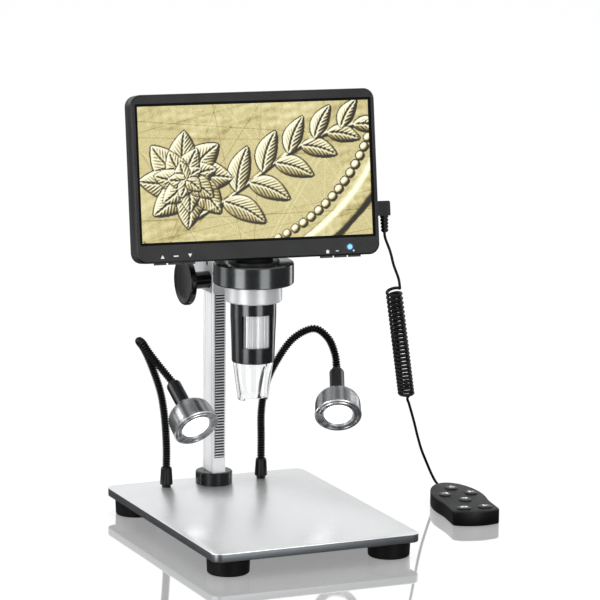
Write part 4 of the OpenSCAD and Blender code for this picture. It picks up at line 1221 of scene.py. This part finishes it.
@dataclass
class Tube:
    """Neck, trim ring, barrel with its wheel, optics and clear cap."""

    cap_low: float = 86.8
    cap_high: float = 111.8
    cap_top_radius: float = 13.0
    cap_low_radius: float = 9.8
    wall: float = 1.3
    plug_radius: float = 12.92
    plug: float = 3.0
    notch_high: float = 2.0
    notch_half: float = 7.64
    notch_round: float = 1.2
    ease: float = 0.25
    rim: float = 0.2
    shoulder: float = 1.0
    inset: float = 0.02
    top_edge: tuple[tuple[float, float], ...] = ((0.1, 0.05), (0.3, 0))
    cap_points: int = 192
    wall_rows: int = 14
    inner_rows: int = 12
    inner_top: float = 0.92

    def cap(self) -> bpy.types.Object:
        """The clear cap: a tapered wall whose lower edge has a flat notch at the front and the back.

        A notch is notch_high up to notch_half less its rounding, then falls by a quarter circle and
        a short side. Each wall runs straight from the edge to the top. The rows run up the outer
        wall, over the plug that sits in the barrel, down the inner wall and round the lower edge.

        Returns:
            The new object.
        """
        angle = np.linspace(0, 2 * np.pi, self.cap_points, endpoint=False)
        aside = np.abs(self.cap_low_radius * np.cos(angle)) - self.notch_half + self.notch_round
        fall = self.notch_round - np.sqrt(np.clip(self.notch_round**2 - np.maximum(aside, 0) ** 2, 0, None))
        low = self.cap_low + np.where(aside < self.notch_round, self.notch_high - fall, 0)
        high, bore = self.cap_high, self.plug_radius - self.wall

        def row(radius: np.ndarray | float, height: np.ndarray | float) -> np.ndarray:
            """One ring of points."""
            r, z = np.broadcast_to(radius, angle.shape), np.broadcast_to(height, angle.shape)
            return np.stack([r * np.cos(angle), r * np.sin(angle), z], 1)

        def outer(z: np.ndarray | float) -> np.ndarray:
            """Radius of the outer wall at a height."""
            share = (np.asarray(z) - self.cap_low) / (high - self.shoulder - self.cap_low)
            return self.cap_low_radius + (self.cap_top_radius - self.cap_low_radius) * np.clip(share, 0, 1)

        up = [
            low + self.ease + (high - self.rim - low - self.ease) * t
            for t in np.linspace(0, 1, self.wall_rows)
        ]
        down = [
            low + self.rim + (high - self.shoulder - low - self.rim) * t
            for t in np.linspace(self.inner_top, 0, self.inner_rows)
        ]
        rows = [
            *(row(outer(z) - self.inset, z) for z in up),
            *(row(self.cap_top_radius - inwards, high - drop) for inwards, drop in self.top_edge),
            row(self.plug_radius, high),
            row(self.plug_radius, high + self.plug),
            row(bore, high + self.plug),
            row(bore, high - self.shoulder),
            *(row(outer(z) - self.wall, z) for z in down),
            row(outer(low) - self.wall + self.ease, low),
            row(outer(low) - self.ease, low),
        ]
        return grid_piece("cap_clear", HEAD.world(np.stack(rows)), loop=True)

    def build(self) -> None:
        """Dresses the tube's nodes and makes the cap."""
        trim = SatinMetal(
            hexed("c9cbcd"), 0.36, line_scale=30, metallic=0.4, depth=4e-6, variation=0.03
        )
        wheel = SatinMetal(hexed("cfd1d2"), 0.3, lines=(24, 24, 0.01), metallic=0.3, variation=0.16)
        clear = ClearPlastic((0.93, 0.935, 0.935)).make("cap_plastic")
        dress(FineMetal(hexed("48494b"), 0.2).make("barrel_black"), "tube_barrel", "lens_cell")
        dress(MouldedPlastic(JET, 0.42).make("neck_black"), "head_neck")
        dress(trim.make("trim_satin"), "trim_ring")
        dress(wheel.make("wheel_silver"), "focus_wheel")
        dress(ClearPlastic((0.95, 0.98, 1.0)).make("lens_clear"), "lens_glass")
        dress(BOARD_GREEN.make("board_green"), "sensor_board")
        dress(Glow((1, 1, 1), 1.0).make("led_white"), "led_ring")
        dress(SatinMetal(hexed("b0b2b4"), 0.25).make("pin_steel"), "tilt_pin")
        finished(self.cap(), clear, "head", "clear", "clear_cap")


# Monitor --------------------------------------------------------------------------------------


class Mark(Enum):
    """Printed marks on the bezel and on the remote's keys, as outlines one unit wide."""

    UP = ((-0.5, -0.42), (0.5, -0.42), (0.0, 0.5))
    DOWN = ((-0.5, 0.42), (0.0, -0.5), (0.5, 0.42))
    BAR = ((-0.5, -0.14), (0.5, -0.14), (0.5, 0.14), (-0.5, 0.14))
    HOUSE = (
        (-0.36, -0.45), (0.36, -0.45), (0.36, 0.0), (0.5, 0.02), (0.0, 0.45), (-0.5, 0.02), (-0.36, 0.0),
    )
    DOT = tuple((0.5 * math.cos(math.pi * k / 6), 0.5 * math.sin(math.pi * k / 6)) for k in range(12))
    CAMERA = (
        (-0.5, -0.36), (0.5, -0.36), (0.5, 0.22), (0.2, 0.22), (0.1, 0.38), (-0.1, 0.38), (-0.2, 0.22),
        (-0.5, 0.22),
    )
    PLAY = ((-0.36, -0.5), (0.5, 0.0), (-0.36, 0.5))


def mark_piece(
    name: str, mark: Mark, size: float, place: Placement, thickness: float = 0.06
) -> bpy.types.Object:
    """A printed mark as a thin raised plate on a place's XY plane.

    Args:
        name: Name of the piece.
        mark: The mark.
        size: Its width in millimetres.
        place: The place of its middle.
        thickness: How far it stands out.

    Returns:
        The new object.
    """
    outline = np.array(mark.value, float) * size
    rows = [np.column_stack([outline, np.full(len(outline), z)]) for z in (-0.02, thickness)]
    return grid_piece(name, place.world(np.stack(rows)), sharp=20)


@dataclass
class Picture:
    """A generic close view of struck metal: a flower, a leafy branch and a beaded rim.

    The relief is a height over the picture's plane, and its colour is the light that a slope
    facing the upper left gets, taken to shades of pale gold. A pair for the leaves is the first
    one's value and how much less each next one has.
    """

    width: float = 152.2
    height: float = 86.2
    columns: int = 360
    seed: int = 7
    face: float = -0.08
    lip: float = -0.02
    waves: tuple[tuple[float, float], ...] = ((0.05, 0.35), (0.13, 0.175), (0.4, 0.045), (1.1, 0.025))
    waves_each: int = 4
    rim_centre: tuple[float, float] = (-34, 66)
    rim_band: Band = (127, 139)
    rim_high: float = 3.4
    rim_steep: float = 1.5
    bead_ring: float = 119
    bead_count: int = 116
    bead_high: float = 2.6
    bead_square: float = 7.4
    branch_band: Band = (-40, 74)
    stem_high: float = 1.8
    stem_wide: float = 1.3
    stem_start: float = -4
    stem_slope: float = 0.42
    stem_wave: float = 7
    stem_stretch: float = 26
    leaves: int = 11
    first_leaf: float = -22
    leaf_pitch: float = 8.8
    leaf_lean: float = 24
    leaf_splay: tuple[float, float] = (52, 2)
    leaf_long: tuple[float, float] = (31, 1.1)
    leaf_wide: tuple[float, float] = (7.4, 0.25)
    leaf_cover: float = 0.35
    blade_bow: float = 0.06
    blade_edge: float = 0.3
    blade_dome: float = 3.4
    vein_deep: float = 1.2
    vein_wide: float = 0.7
    side_vein: float = 0.15
    side_vein_lean: float = 1.3
    side_vein_pitch: float = 2.1
    flower: tuple[float, float] = (-46.0, -4.0)
    petals: tuple[tuple[int, float, float], ...] = ((8, 31, 9.6), (7, 21, 7.4), (5, 12, 5.2))
    petal_turn: float = 17
    petal_lift: float = 1.3
    petal_cover: float = 0.2
    stamens: int = 9
    stamen_ring: float = 3.1
    stamen_high: float = 7.4
    stamen_square: float = 3.1
    stamen_turn: float = 0.7
    lamp: Point = (0.62, -0.66, 0.62)
    dark: float = 0.12
    contrast: float = 1.2
    hollow: float = 0.36
    hollow_band: Band = (-0.8, 2.5)
    grain: float = 0.04
    scratches: int = 34
    scratch_reach: float = 70
    scratch_wide: float = 0.22
    scratch_band: Band = (-0.22, 0.16)
    brightest: float = 1.1
    shades: tuple[str, ...] = ("170f03", "4a3b14", "8d7c40", "cfc286", "efe8b4", "fffee4")

    def leaf(
        self, x: np.ndarray, z: np.ndarray, root: Sequence[float], lean: float, long: float, wide: float
    ) -> np.ndarray:
        """Height of one leaf or petal, zero outside it.

        Along it u runs from 0 to long, across it v from its bowed middle line, and its half width is
        wide * sin(pi * (u / long)^0.8)^0.75. The blade is a dome with a sunken vein and side veins.

        Args:
            x: Places across the picture, in millimetres.
            z: Places up the picture.
            root: The place where the leaf starts.
            lean: Its direction in degrees, anticlockwise from the right.
            long: Its length.
            wide: Half of its greatest width.

        Returns:
            The height at each place.
        """
        a = math.radians(lean)
        u = (x - root[0]) * math.cos(a) + (z - root[1]) * math.sin(a)
        aside = (z - root[1]) * math.cos(a) - (x - root[0]) * math.sin(a)
        v = aside - self.blade_bow * long * np.sin(np.pi * u / long)
        t = np.clip(u / long, 1e-4, 1 - 1e-4)
        half = wide * np.sin(np.pi * t**0.8) ** 0.75 + 1e-6
        body = np.maximum(1 - (v / half) ** 2, 0) * (u > 0) * (u < long)
        side_veins = np.cos((u - self.side_vein_lean * np.abs(v)) * self.side_vein_pitch)
        vein = np.exp(-((v / self.vein_wide) ** 2)) + self.side_vein * side_veins
        dome = np.sqrt(body)
        blade = self.blade_edge + self.blade_dome * dome - self.vein_deep * vein * dome
        return np.where(body > 0, blade, 0)

    def stem(self, x: np.ndarray | float) -> np.ndarray | float:
        """Height up the picture of the branch's stem, a slope with a slow wave."""
        return self.stem_slope * x + self.stem_start + self.stem_wave * np.sin(x / self.stem_stretch)

    def relief(self, x: np.ndarray, z: np.ndarray) -> np.ndarray:
        """Height of the struck metal: slow waves, then rim, beads, branch and flower over them.

        The rim is a plateau between two smooth steps, a bead or a stamen is a half ball, and the stem
        a ridge exp(-(distance / width)^2).

        Args:
            x: Places across the picture, in millimetres.
            z: Places up the picture.

        Returns:
            The height at each place, in millimetres.
        """
        random = np.random.default_rng(self.seed)
        h = np.zeros_like(x)
        for scale, weight in self.waves:
            for _ in range(self.waves_each):
                way, phase = random.uniform(0, np.pi), random.uniform(0, 2 * np.pi)
                h += weight * np.sin(scale * (np.cos(way) * x + np.sin(way) * z) + phase)
        rim_x, rim_z = x - self.rim_centre[0], z - self.rim_centre[1]
        away, turn = np.hypot(rim_x, rim_z), np.arctan2(rim_z, rim_x)
        rise, drop = (away - edge for edge in self.rim_band)
        h += self.rim_high / (1 + np.exp(-rise * self.rim_steep)) / (1 + np.exp(drop * self.rim_steep))
        bead = self.bead_ring * 2 * np.pi / self.bead_count
        along = ((turn * self.bead_ring / bead) % 1 - 0.5) * bead
        off_bead = along**2 + (away - self.bead_ring) ** 2
        h += self.bead_high * np.sqrt(np.maximum(1 - off_bead / self.bead_square, 0))
        ridge = np.exp(-(((z - self.stem(x)) / self.stem_wide) ** 2))
        h += self.stem_high * ridge * (x > self.branch_band[0]) * (x < self.branch_band[1])
        for k in range(self.leaves):
            root_x = self.first_leaf + self.leaf_pitch * k
            root = (root_x, self.stem(root_x))
            up = 1 if k % 2 else -1
            splay, long, wide = (
                first - fall * k for first, fall in (self.leaf_splay, self.leaf_long, self.leaf_wide)
            )
            leaf = self.leaf(x, z, root, self.leaf_lean + up * splay, long, wide)
            h = np.where(leaf > 0, self.leaf_cover * h + leaf, h)
        for ring, (count, long, wide) in enumerate(self.petals):
            for k in range(count):
                lean = 360 * k / count + self.petal_turn * ring
                petal = self.leaf(x, z, self.flower, lean, long, wide)
                h = np.where(petal > 0, self.petal_cover * h + petal + self.petal_lift * ring, h)
        for k in range(self.stamens):
            angle = self.stamen_turn * k
            at = self.flower + self.stamen_ring * np.array([math.cos(angle), math.sin(angle)]) * (k > 0)
            ball = np.maximum(1 - ((x - at[0]) ** 2 + (z - at[1]) ** 2) / self.stamen_square, 0)
            h = np.maximum(h, self.stamen_high * np.sqrt(ball))
        return h

    def colours(self, x: np.ndarray, z: np.ndarray) -> np.ndarray:
        """Linear colours of the lit relief.

        The shade is the slope's share of the light, less a share of the curvature, which darkens
        hollows and edges, plus grain and fine straight scratches.

        Args:
            x: Places across the picture, in millimetres.
            z: Places up the picture.

        Returns:
            Red, green, blue and one for each place.
        """
        h = self.relief(x, z)
        step = x[0, 1] - x[0, 0]
        slope_z, slope_x = np.gradient(h, step)
        curve = np.gradient(slope_z, step, axis=0) + np.gradient(slope_x, step, axis=1)
        facing = self.lamp[0] * slope_x + self.lamp[1] * slope_z + self.lamp[2]
        lit = facing / np.sqrt(slope_x**2 + slope_z**2 + 1)
        random = np.random.default_rng(self.seed + 1)
        grain = random.normal(0, self.grain, x.shape)
        for _ in range(self.scratches):
            way = random.uniform(0, np.pi)
            off = random.uniform(-self.scratch_reach, self.scratch_reach)
            line = np.abs(np.cos(way) * x + np.sin(way) * z - off)
            grain += random.uniform(*self.scratch_band) * np.exp(-((line / self.scratch_wide) ** 2))
        hollow = self.hollow * np.clip(curve, *self.hollow_band)
        shade = np.clip(-self.dark + self.contrast * lit - hollow + grain, 0, self.brightest)
        shades = np.array([hexed(code) for code in self.shades])
        stops = np.linspace(0, 1, len(shades))
        ramp = [np.interp(shade, stops, channel) for channel in shades.T]
        return np.stack([*ramp, np.ones_like(shade)], 2)

    def build(self, place: Placement) -> bpy.types.Object:
        """The picture as a thin sheet with folded edges and one colour for each point.

        Args:
            place: The place of its middle, with X across it and Z up it.

        Returns:
            The new object.
        """
        rows = int(self.columns * self.height / self.width)
        x, z = np.meshgrid(
            np.linspace(-self.width / 2, self.width / 2, self.columns),
            np.linspace(-self.height / 2, self.height / 2, rows),
        )
        front = np.stack([x, np.full_like(x, self.face), z], 2)
        lip = np.stack([front[0], front[-1]])
        lip[..., 1] = self.lip
        grid = np.concatenate([lip[:1], front, lip[1:]])
        piece = grid_piece("screen_picture", place.world(grid), ring=False)
        where = np.empty(len(piece.data.vertices) * 3)
        piece.data.vertices.foreach_get("co", where)
        local = place.local(where.reshape(-1, 3))
        column, row = (
            np.clip(np.rint((local[:, axis] / size + 0.5) * (count - 1)), 0, count - 1).astype(int)
            for axis, size, count in ((0, self.width, self.columns), (2, self.height, rows))
        )
        layer = piece.data.color_attributes.new("Picture", "FLOAT_COLOR", "POINT")
        layer.data.foreach_set("color", self.colours(x, z)[row, column].astype(np.float32).ravel())
        return piece


@dataclass
class Monitor:
    """The tilting screen: housing, picture, keys, marks, power light with a painted glow, and the remote's
    plug.
    """

    face: float = -1.0
    marks: tuple[tuple[str, Mark, float, float, float], ...] = (
        ("mark_up", Mark.UP, -63.7, -52.2, 2.5),
        ("mark_select", Mark.BAR, -54.9, -52.0, 3.1),
        ("mark_down", Mark.DOWN, -45.7, -51.8, 2.5),
        ("mark_menu", Mark.HOUSE, 45.2, -53.2, 2.7),
        ("mark_mode", Mark.BAR, 51.6, -53.1, 2.0),
        ("mark_power", Mark.DOT, 62.5, -53.3, 1.2),
    )
    painted_glow: tuple[float, float, float] = (60.1, -50.8, 4.6)

    def build(self) -> None:
        """Dresses the monitor's nodes and makes the picture and the marks."""
        bezel = MouldedPlastic(hexed("131416"), 0.36, 0.00003, mottle=0.06, specular=0.3)
        panel = MouldedPlastic((0.001, 0.001, 0.001), 0.5, 0.00001, specular=0.1)
        plug = MouldedPlastic((0.003, 0.003, 0.0035), 0.42, specular=0.3)
        keys = ("key_up", "key_select", "key_down", "key_menu", "key_mode", "key_power")
        dress(bezel.make("bezel_charcoal"), "front_bezel")
        dress(MouldedPlastic(hexed("202122"), 0.5, specular=0.3).make("cover_black"), "rear_cover")
        dress(panel.make("panel_black"), "lcd_panel")
        dress(BOARD_GREEN.make("main_board_green"), "main_board")
        dress(SatinMetal(hexed("9a9da3"), 0.4, metallic=0.4).make("battery_foil"), "battery")
        dress(SCREW_BLACK.make("cover_screw_black"), "cover_screws")
        dress(MouldedPlastic((0.014, 0.014, 0.015), 0.38).make("key_black"), *keys)
        dress(Glow(hexed("8fdcf2"), 1.0, hexed("1c6f9c")).make("light_blue"), "power_light")
        dress(plug.make("plug_black"), "remote_plug", "plug_relief", "remote_socket")
        finished(Picture().build(MONITOR), PictureGlass().make("picture_glass"), "monitor", "screen")
        ink = MouldedPlastic(hexed("f2f2f2"), 0.5, 0.00001, mottle=0.04).make("mark_white")
        # Painted glow: a blue disc on the bezel round the power light stands for its light spreading.
        blue = MouldedPlastic(hexed("1f5f9c"), 0.35, 0.00001, mottle=0.04).make("painted_glow_blue")
        x, z, size = self.painted_glow
        place = MONITOR.moved(x, self.face, z).turned("X", 90)
        finished(mark_piece("painted_glow_disc", Mark.DOT, size, place, 0.04), blue, "monitor", "bezel")
        for name, mark, x, z, size in self.marks:
            place = MONITOR.moved(x, self.face, z).turned("X", 90)
            finished(mark_piece(name, mark, size, place), ink, "monitor", "bezel")


# Lamps ----------------------------------------------------------------------------------------


class Side(Enum):
    """The two lamps."""

    LEFT = "left"
    RIGHT = "right"


@dataclass
class Lamp:
    """One gooseneck lamp: ribbed neck, sleeve, spun head and lens."""

    side: Side
    end: Point
    yaw: float
    route: tuple[Point, ...]
    lead: float = 4
    pitch: float = 36
    radius: float = 2.7
    rib: float = 1.7
    rib_points: int = 8
    groove: float = 0.85
    route_steps: int = 24
    neck_sides: int = 16
    sleeve: float = 18.6
    length: float = 21
    lens: float = 9.3
    cup_edge: float = 1.3
    cup_deep: float = 8.8
    face: float = 14.9
    rim_cut: float = 0.65
    line_out: float = 13.4
    line_floor: float = 13.05
    line_in: float = 12.7
    line_deep: float = 0.4
    grip: float = 6

    def neck(self) -> bpy.types.Object:
        """The ribbed gooseneck: its radius is the full one less groove * |cos(pi * s / rib)|^5.

        Returns:
            The new object.
        """
        yaw, pitch = math.radians(self.yaw), math.radians(self.pitch)
        level = math.cos(pitch)
        aim = np.array([math.sin(yaw) * level, -math.cos(yaw) * level, -math.sin(pitch)])
        end = np.array(self.end)
        spacing = self.rib / self.rib_points
        knots = [*self.route, end - self.lead * aim, end, end + self.grip * aim]
        line = even(spline(knots, self.route_steps), spacing)
        run = np.arange(len(line)) * spacing
        radii = self.radius - self.groove * np.abs(np.cos(np.pi * run / self.rib)) ** 5
        return tube(f"neck_{self.side.value}", line, radii, self.neck_sides, sharp=75)

    def head(self, place: Placement) -> bpy.types.Object:
        """The spun head: a domed back, a cut rim, a wide face with a fine line, and the lens's cup.

        Args:
            place: The place of the neck's end, whose Z axis is the head's.

        Returns:
            The new object.
        """
        end, lens, cup = self.length, self.lens, self.length - self.cup_deep
        corners = [
            (0, 0, 0), (5.7, 0, 0.3), (6.2, 1.3, 0.6), (9.4, 3.3, 1.6), (12.3, 5.0, 1.7), (14.3, 7.6, 1.8),
            (15.0, 10.8, 1.6), (15.2, end - 2.2, 0.3), (15.5, end - 1.3, 0.3),
            (15.5, end - self.rim_cut, 0.1), (self.face, end, 0.1),
            (self.line_out, end, 0.05), (self.line_floor, end - self.line_deep, 0.05),
            (self.line_in, end, 0.05),
            (lens + self.cup_edge, end, 0.2), (lens, end - self.cup_edge, 0.2), (lens, cup, 0), (0, cup, 0),
        ]
        profile = [(r, self.sleeve + z) for r, z in rounded_profile(corners)]
        return revolved(f"head_{self.side.value}", profile, place, 128, sharp=25)

    def cuts(self, head: bpy.types.Object, place: Placement) -> np.ndarray:
        """Sorts the head's faces by finish.

        Args:
            head: The spun head.
            place: The place that it was made at.

        Returns:
            For each face 0 for the spun steel, 1 for the cup and 2 for the cut rim and the line.
        """
        centres = face_centres(head, place)
        away, deep = np.hypot(centres[:, 0], centres[:, 1]), self.sleeve + self.length - centres[:, 2]
        cup = (away < self.lens + self.cup_edge + 0.05) & (deep < self.length - 8)
        rim = (away > self.face) & (deep < self.rim_cut - 0.05)
        line = (away < self.line_floor) & (away > self.line_in) & (deep < self.line_deep - 0.02)
        return np.select([cup, rim | line], [1, 2], 0)

    def window(self, place: Placement) -> bpy.types.Object:
        """The lens: a clear disc with a shallow dome, just behind the head's face.

        Args:
            place: The place of the neck's end, whose Z axis is the head's.

        Returns:
            The new object.
        """
        face, r = self.sleeve + self.length, self.lens - 0.1
        corners = [(0, -5.9, 0), (r, -5.9, 0.2), (r, -1.0, 0.4), (r * 0.7, -0.55, 0.8), (0, -0.3, 0)]
        profile = [(x, face + z) for x, z in rounded_profile(corners)]
        return revolved(f"window_{self.side.value}", profile, place)

    def build(self) -> None:
        """Makes the neck, the head and the lens, and dresses the sleeve and the light."""
        name = self.side.value
        body = f"lamp_{name}"
        place = DRAWING.moved(*self.end).turned("Z", self.yaw).turned("X", 90 + self.pitch)
        ribbed = SatinMetal((0.014, 0.014, 0.0145), 0.25, depth=0.000002)
        finished(self.neck(), ribbed.make(f"neck_black_{name}"), body, "black_metal", f"gooseneck_{name}")
        # The spun steel carries painted highlight streaks round the axis.
        steel = SpunMetal(hexed("747678"), 0.25).make(f"head_steel_{name}")
        # The cup and the cut rim and line are paler steel than the head: partly their own bright finish,
        # partly painted highlight for the lit rings round the lens and at the rim.
        cup = SatinMetal(hexed("8f9193"), 0.3, metallic=0.6).make(f"cup_steel_and_highlight_{name}")
        cut = SatinMetal(hexed("d8d9da"), 0.28).make(f"rim_cut_{name}")
        head = finished(self.head(place), steel, body, "lamp_metal", f"lamp_head_{name}")
        faced(head, self.cuts(head, place), cup, cut)
        sleeve = FineMetal(hexed("262729"), 0.22, line_scale=900, metallic=0.8, variation=0.06)
        dress(sleeve.make(f"sleeve_black_{name}"), f"lamp_sleeve_{name}")
        dress(Glow((1, 1, 1), 1.6).make(f"led_board_{name}"), f"lamp_led_{name}")
        lit = Glow((1, 1, 1), 1.5).make(f"lens_lit_{name}")
        finished(self.window(place), lit, body, "lamp_lens", f"lamp_lens_{name}")


# Remote ---------------------------------------------------------------------------------------


@dataclass
class Remote:
    """The wired remote: a two-part shell and six domed keys."""

    long: float = 77
    front: float = 15.9
    waist: float = 15.6
    belly: float = 17
    waist_at: float = 20
    belly_at: float = 40
    bow: float = 4.6
    corner: float = 2.4
    side_points: int = 28
    tip_points: int = 26
    front_points: int = 20
    corner_points: int = 9
    high: float = 10
    seam: float = 4.5
    seam_half: float = 0.12
    seam_deep: float = 0.16
    seam_floor: float = 0.04
    proud: float = 1.4
    edge_share: float = 0.55
    dome_share: float = 0.45
    dome_rings: int = 12
    key_corner: int = 10
    skirt: float = 0.6
    # Painted shade: how far the black ring round each key reaches past it.
    painted_shade_well: float = 1.5
    legend: float = 4.5
    keys: tuple[tuple[str, float, float, float, float, Mark, float], ...] = (
        ("up", 0, 59, 7.6, 9.4, Mark.UP, 0),
        ("left", -9.2, 42.5, 7.6, 9.4, Mark.UP, 90),
        ("right", 9.2, 43.5, 7.6, 9.4, Mark.UP, -90),
        ("down", 0, 26.5, 7.6, 9.4, Mark.UP, 180),
        ("snap", -7.4, 4.8, 9.4, 8, Mark.CAMERA, 0),
        ("play", 7.4, 5.6, 9.4, 8, Mark.PLAY, 0),
    )

    def outline(self) -> np.ndarray:
        """The shell's outline, anticlockwise from the front right corner.

        Its half width eases by half cosines from the front to the waist and on to the belly, and
        then follows an ellipse to the tip. The front edge bows out by a parabola, and its corners
        are rounded by a quadratic curve.

        Returns:
            The outline's points, in millimetres.
        """
        s = np.concatenate([[self.corner], np.linspace(0, self.belly_at, self.side_points)[2:]])
        to_waist = self.waist + (self.front - self.waist) * (1 + np.cos(np.pi * s / self.waist_at)) / 2
        share = (s - self.waist_at) / (self.belly_at - self.waist_at)
        to_belly = self.waist + (self.belly - self.waist) * (1 - np.cos(np.pi * share)) / 2
        half = np.where(s < self.waist_at, to_waist, to_belly)
        a = np.linspace(0, np.pi / 2, self.tip_points)[1:]
        tip = self.long - self.belly_at
        round_end = np.column_stack([self.belly * np.cos(a), self.belly_at + tip * np.sin(a)])
        right = np.vstack([np.column_stack([half, s]), round_end])
        left = right[-2::-1] * [-1, 1]
        flat = self.front - self.corner
        x = np.linspace(-flat, flat, self.front_points)
        bowed = np.column_stack([x, -self.bow * (1 - (x / self.front) ** 2)])
        t = np.linspace(0, 1, self.corner_points)[1:-1, None]
        turn = right[0] * (1 - t) ** 2 + 2 * np.array([self.front, 0]) * t * (1 - t) + bowed[-1] * t**2
        return np.vstack([right, left, turn * [-1, 1], bowed, turn[::-1]])

    def shell(self) -> bpy.types.Object:
        """The two halves of the shell with the seam between them and eased edges.

        Returns:
            The new object.
        """
        seam, high = self.seam, self.high
        levels = [
            (0.7, 0), (0.2, 0.2), (0, 0.7),
            (0, seam - self.seam_half), (self.seam_deep, seam - self.seam_floor),
            (self.seam_deep, seam + self.seam_floor), (0, seam + self.seam_half),
            (0, high - 1.0), (0.1, high - 0.55), (0.38, high - 0.2), (0.9, high),
        ]
        return slab("remote_shell", self.outline(), levels, REMOTE, sharp=45)

    def key(self, name: str, x: float, y: float, wide: float, deep: float) -> bpy.types.Object:
        """A domed key: rings of its outline drawn in, rising by a quarter of an ellipse.

        Args:
            name: Name of the key.
            x: Place of its middle across the remote.
            y: Place of its middle along the remote.
            wide: Its width.
            deep: Its size along the remote.

        Returns:
            The new object.
        """
        outline = rounded_rect(wide, deep, min(wide, deep) / 2 - 0.2, self.key_corner)
        share = np.linspace(0, 1, self.dome_rings)[:, None, None]
        dome = self.edge_share + self.dome_share * np.sqrt(1 - (1 - share) ** 2)
        rise = np.broadcast_to(self.high + self.proud * dome, (self.dome_rings, len(outline), 1))
        rings = np.concatenate([outline * (1 - share), rise], 2)
        skirt = np.column_stack([outline, np.full(len(outline), self.high - self.skirt)])[None]
        grid = np.concatenate([skirt, rings]) + [x, y, 0]
        return grid_piece(f"button_{name}", REMOTE.world(grid), sharp=50)

    def build(self) -> None:
        """Makes the shell, the keys and their marks, and black rings of painted shade round the keys."""
        grain = MouldedPlastic(hexed("1f2021"), 0.55, 0.0002, 3200, 0.95, 0.25).make("remote_grained")
        side = MouldedPlastic((0.002, 0.002, 0.0024), 0.36, specular=0.25).make("remote_side")
        shell = finished(self.shell(), grain, "stand", "remote_shell", "remote_top", "remote_bottom")
        faced(shell, face_centres(shell, REMOTE)[:, 2] < self.high - 0.6, side)
        domed = MouldedPlastic(hexed("151617"), 0.36, 0.0001, 1300, 0.4).make("button_grained")
        ink = MouldedPlastic(hexed("ffffff"), 0.5, 0.00001, mottle=0.02).make("legend_white")
        painted_gap_shade = MouldedPlastic((0.001, 0.001, 0.001), 0.6).make("gap_painted_shade")
        # Painted shade: a black ring under each key stands for the shaded gap round it.
        for name, x, y, wide, deep, mark, turn in self.keys:
            corner = min(wide, deep) / 2 + 0.5
            rim = rounded_rect(wide + self.painted_shade_well, deep + self.painted_shade_well, corner, self.key_corner)
            levels = [(0, self.high - 0.05), (0, self.high + 0.03)]
            finished(slab(f"well_{name}", rim, levels, REMOTE.moved(x, y, 0)), painted_gap_shade, "stand", "remote_shell")
            body = f"remote_key_{name}_body"
            finished(self.key(name, x, y, wide, deep), domed, body, "key", f"remote_key_{name}")
            place = REMOTE.moved(x, y, self.high + self.proud - 0.03).turned("Z", turn)
            finished(mark_piece(f"legend_{name}", mark, self.legend, place, 0.02), ink, body, "key")
        dress(BOARD_GREEN.make("remote_board_green"), "remote_board")


# Making ---------------------------------------------------------------------------------------

LEFT_ROUTE: tuple[Point, ...] = (
    (-34, 78, 20.6), (-34, 78, 30.6), (-34, 78, 44.2), (-35, 78.5, 62.2), (-37, 80.5, 79.2),
    (-41, 83.5, 94.2), (-46.5, 85, 108.2), (-51.5, 82.5, 115), (-51.5, 76, 114.8), (-48, 71.5, 108.2),
    (-42.5, 67, 99.8),
)
RIGHT_ROUTE: tuple[Point, ...] = (
    (34, 78, 20.6), (34, 78, 30.6), (34, 78, 44.2), (34, 78, 62.2), (37, 78, 79.2), (44, 77, 94.7),
    (55, 74.5, 110.2), (68, 70, 117), (77, 66.5, 110.7), (81.5, 65, 100),
)


def main() -> None:
    """Builds the studio, the cord and then each sub-assembly."""
    logging.basicConfig(level=logging.INFO, format="%(message)s")
    parts = (
        Studio(),
        RemoteCord(),
        StagePlate(),
        Column(),
        Carriage(),
        Tube(),
        Monitor(),
        Lamp(Side.LEFT, (-36.7, 59.7, 89.9), 7, LEFT_ROUTE, lead=3),
        Lamp(Side.RIGHT, (80.3, 59.1, 89.4), -22, RIGHT_ROUTE),
        Remote(),
    )
    for part in parts:
        LOG.info("%s", type(part).__name__)
        part.build()


if __name__ == "__main__":
    main()
